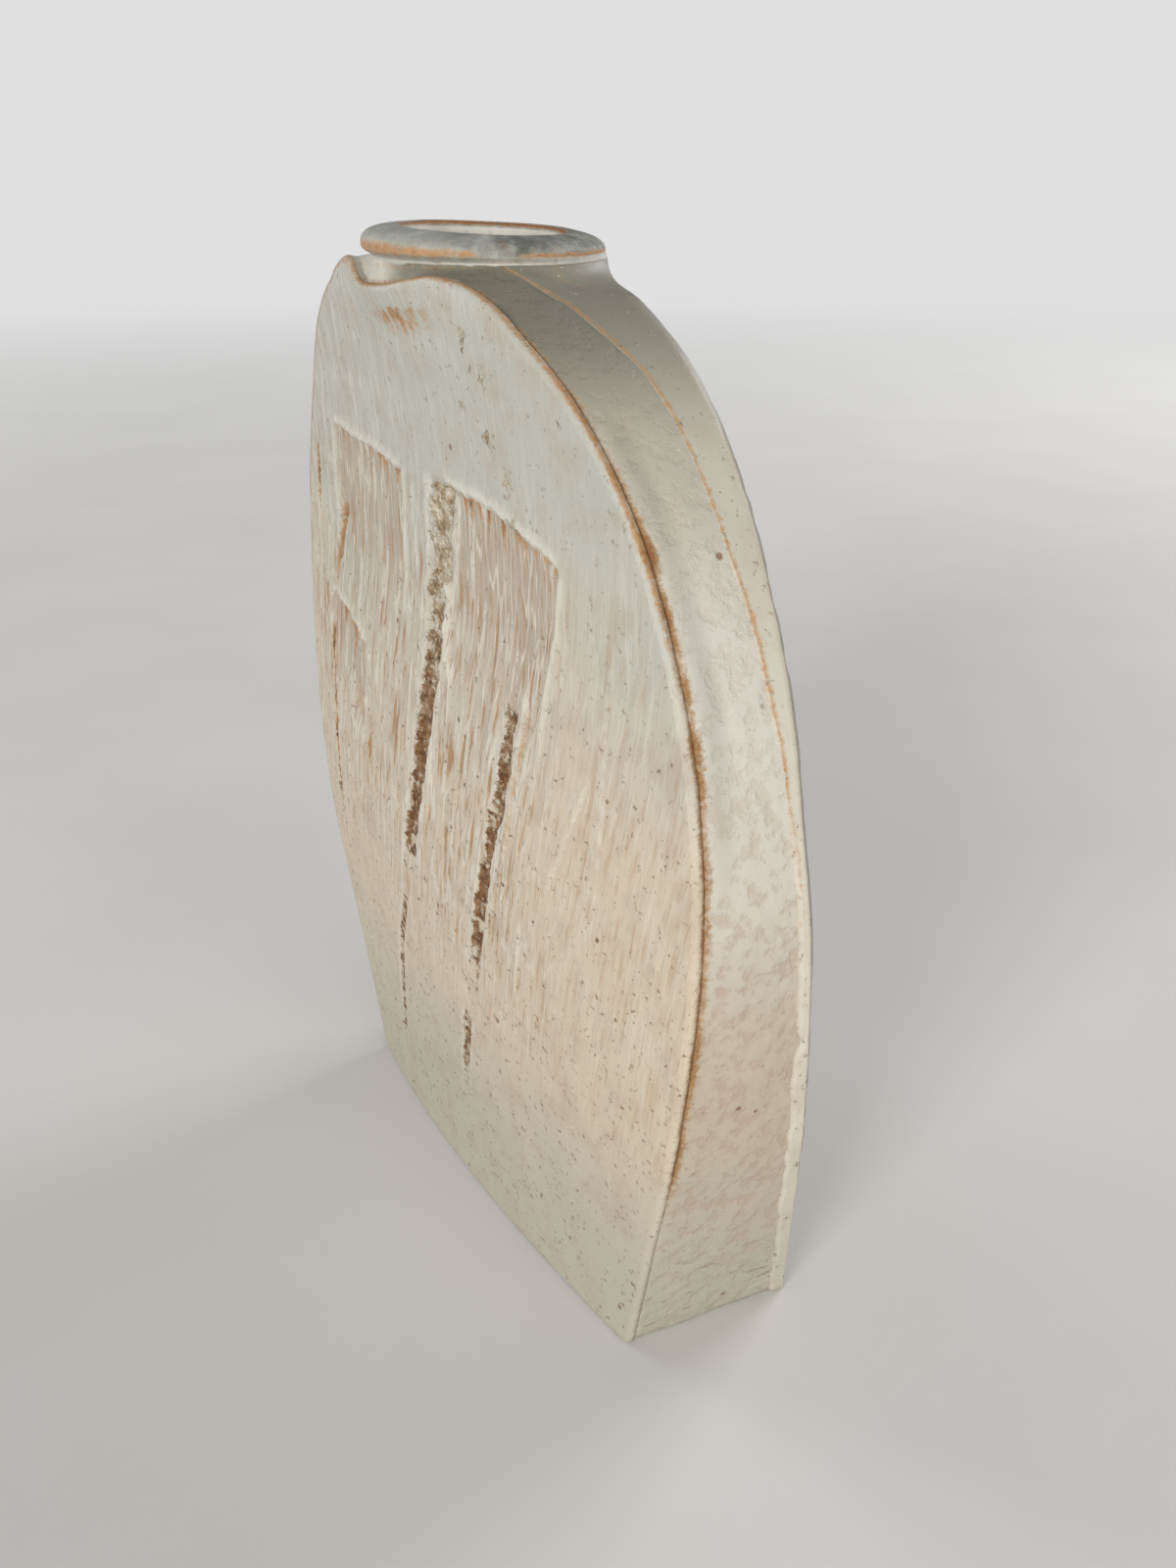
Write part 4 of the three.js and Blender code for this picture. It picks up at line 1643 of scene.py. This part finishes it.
class VaseSettings(bpy.types.PropertyGroup):
    bead_radius: length_property("Edge bead", "Radius of the front slab's rounded edge", 0.0016)
    comb_depth: length_property("Comb depth", "Depth of the combed grain", 0.0009)
    wobble: length_property("Hand wobble", "Slow unevenness of the pressed clay", 0.0005)
    mouth_tilt_right: number_property("Mouth tilt right", "Slope of the mouth to the right", 0.042)
    mouth_tilt_back: number_property("Mouth tilt back", "Slope of the mouth to the back", 0.031)
    glaze_cool: colour_property("Cool glaze", "Thick glaze of the upper faces", 184, 184, 174)
    glaze_warm: colour_property("Warm glaze", "Cream glaze of the front face", 205, 191, 168)
    glaze_back: colour_property("Back glaze", "Cream glaze of the back face", 202, 194, 175)
    glaze_deep: colour_property("Deep glaze", "Greyish glaze near the foot", 184, 178, 161)
    glaze_pink: colour_property("Pink glaze", "Thin glaze in the scraped planes", 176, 158, 138)
    glaze_white: colour_property("White glaze", "Thick white glaze on ridges", 220, 215, 202)
    # Painted shade, partly a greyer glaze: covers the shoulders that face up near the neck and the strips
    # behind the front edge
    grey_glaze_and_shade: colour_property("Shade glaze", "Grey glaze of the shoulders", 114, 110, 96)
    band_white: colour_property("Band white", "Lilac-white middle of the strips", 208, 202, 190)
    band_cream: colour_property("Band cream", "Lower part of the strips", 190, 177, 156)
    mottle: colour_property("Mottle", "Pinkish brown mottles of the strips", 186, 165, 144)
    ochre: colour_property("Ochre", "Ochre in the combed grain", 168, 126, 84)
    rust_pale: colour_property("Pale rust", "Outer part of the rust lines", 180, 138, 94)
    rust_deep: colour_property("Deep rust", "Heart of the rust lines", 128, 82, 46)
    crease_brown: colour_property("Crease brown", "Brown grit in the creases", 148, 110, 66)
    speck_brown: colour_property("Speck brown", "Iron specks", 128, 94, 68)
    gouge_dark: colour_property("Gouge dark", "Darkest fill of the gouges", 92, 56, 32)
    gouge_brown: colour_property("Gouge brown", "Brown fill of the gouges", 150, 110, 68)
    gouge_olive: colour_property("Gouge olive", "Olive fill of the gouges", 138, 120, 86)
    gouge_tan: colour_property("Gouge tan", "Pale fill of the gouges", 196, 182, 156)
    # A grey glaze darkened with painted shade and painted dark reflection; it shows on the neck everywhere
    # but its paler front
    neck_grey_and_shade: colour_property("Neck grey", "Thick grey glaze of the neck", 98, 98, 89)
    clay: colour_property("Clay", "Bare clay", 176, 146, 112)
    clay_burnt: colour_property("Burnt clay", "Darker patches of the bare clay", 142, 104, 74)
    floor_colour: colour_property("Floor", "Floor near the vase", 216, 214, 210)
    floor_cloud: colour_property("Floor cloud", "Slight clouds in the floor", 220, 218, 215)
    backdrop_colour: colour_property("Backdrop", "Backdrop far away", 224, 224, 224)
    sky_colour: colour_property("Sky", "Soft light from all round", 250, 252, 255)
    sky_strength: number_property("Sky strength", "Strength of the soft light from all round", 0.3)
    face_columns: count_property("Face columns", "Columns of the front face", 240)
    body_rows: count_property("Body rows", "Rows up each slab", 260)
    inner_columns: count_property("Inner columns", "Columns of the inner face", 24)
    strip_columns: count_property("Strip columns", "Columns of a strip", 44)
    strip_inner: count_property("Strip inner", "Inner columns of a strip", 8)
    fan_rows: count_property("Fan rows", "Rows of a strip round the neck", 50)
    fold_columns: count_property("Fold columns", "Columns of the folded rim", 14)
    back_columns: count_property("Back columns", "Columns of half the back", 70)
    back_inner: count_property("Back inner", "Inner columns of the back", 30)
    dome_rows: count_property("Dome rows", "Rows of the back under the neck", 20)
    collar_steps: count_property("Collar steps", "Steps round the neck", 160)


def settings_of(context):
    return context.scene.vase_settings


class VASE_OT_front_slab(bpy.types.Operator):
    """Models the front slab with its tool marks and beaded edge"""

    bl_idname = "vase.front_slab"
    bl_label = "Front Slab"

    def execute(self, context):
        settings = settings_of(context)
        piece = closed_piece("front_slab_glazed", front_rows(settings), settings.wobble / MM)
        glaze = face_glaze("front_glaze", settings, settings.glaze_cool, settings.glaze_warm)
        stand_for(piece, "front_slab", glaze)
        return {"FINISHED"}


class VASE_OT_side_strips(bpy.types.Operator):
    """Models the two side strips, up to the neck"""

    bl_idname = "vase.side_strips"
    bl_label = "Side Strips"

    def execute(self, context):
        settings = settings_of(context)
        material = strip_glaze(settings)
        for side, node_name in ((1, "right_side_strip"), (-1, "left_side_strip")):
            piece = closed_piece(node_name + "_glazed", strip_rows(side, settings), settings.wobble / MM)
            stand_for(piece, node_name, material)
        return {"FINISHED"}


class VASE_OT_back_slab(bpy.types.Operator):
    """Models the back slab with its folded rims"""

    bl_idname = "vase.back_slab"
    bl_label = "Back Slab"

    def execute(self, context):
        settings = settings_of(context)
        piece = closed_piece("back_slab_glazed", back_rows(settings), settings.wobble / MM)
        # 0.85 sets the painted shade, partly a greyer glaze, at the top of the back slab
        glaze = face_glaze("back_glaze", settings, settings.glaze_deep, settings.glaze_back, 0.7, 0.85)
        stand_for(piece, "back_slab", glaze)
        return {"FINISHED"}


class VASE_OT_neck_collar(bpy.types.Operator):
    """Models the thrown neck with its rolled lip"""

    bl_idname = "vase.neck_collar"
    bl_label = "Neck Collar"

    def execute(self, context):
        settings = settings_of(context)
        piece = collar_piece(settings)
        stand_for(piece, "neck_collar", neck_glaze(settings))
        return {"FINISHED"}


class VASE_OT_base_slab(bpy.types.Operator):
    """Models the base slab"""

    bl_idname = "vase.base_slab"
    bl_label = "Base Slab"

    def execute(self, context):
        material = bare_clay(settings_of(context))
        stand_for(base_piece(), "base_slab", material)
        return {"FINISHED"}


class VASE_OT_stage(bpy.types.Operator):
    """Adds the floor, the lamps and the camera"""

    bl_idname = "vase.stage"
    bl_label = "Stage"

    def execute(self, context):
        settings = settings_of(context)
        context.scene.view_settings.view_transform = "Standard"
        add_camera()
        add_floor(settings)
        add_world(settings)
        for lamp in LAMPS:
            add_lamp(*lamp)
        return {"FINISHED"}


class VASE_PT_panel(bpy.types.Panel):
    """Lists the steps that build the vase"""

    bl_idname = "VASE_PT_panel"
    bl_label = "Slab Vase"
    bl_space_type = "VIEW_3D"
    bl_region_type = "UI"
    bl_category = "Vase"

    def draw(self, context):
        for step in STEPS:
            self.layout.operator(step.bl_idname)


STEPS = (
    VASE_OT_base_slab, VASE_OT_front_slab, VASE_OT_back_slab, VASE_OT_side_strips, VASE_OT_neck_collar,
    VASE_OT_stage,
)


def register():
    bpy.utils.register_class(VaseSettings)
    for step in STEPS:
        bpy.utils.register_class(step)
    bpy.utils.register_class(VASE_PT_panel)
    bpy.types.Scene.vase_settings = bpy.props.PointerProperty(type=VaseSettings)


def unregister():
    del bpy.types.Scene.vase_settings
    bpy.utils.unregister_class(VASE_PT_panel)
    for step in reversed(STEPS):
        bpy.utils.unregister_class(step)
    bpy.utils.unregister_class(VaseSettings)


def main():
    register()
    for step in STEPS:
        area, name = step.bl_idname.split(".")
        getattr(getattr(bpy.ops, area), name)()


if __name__ == "__main__":
    main()
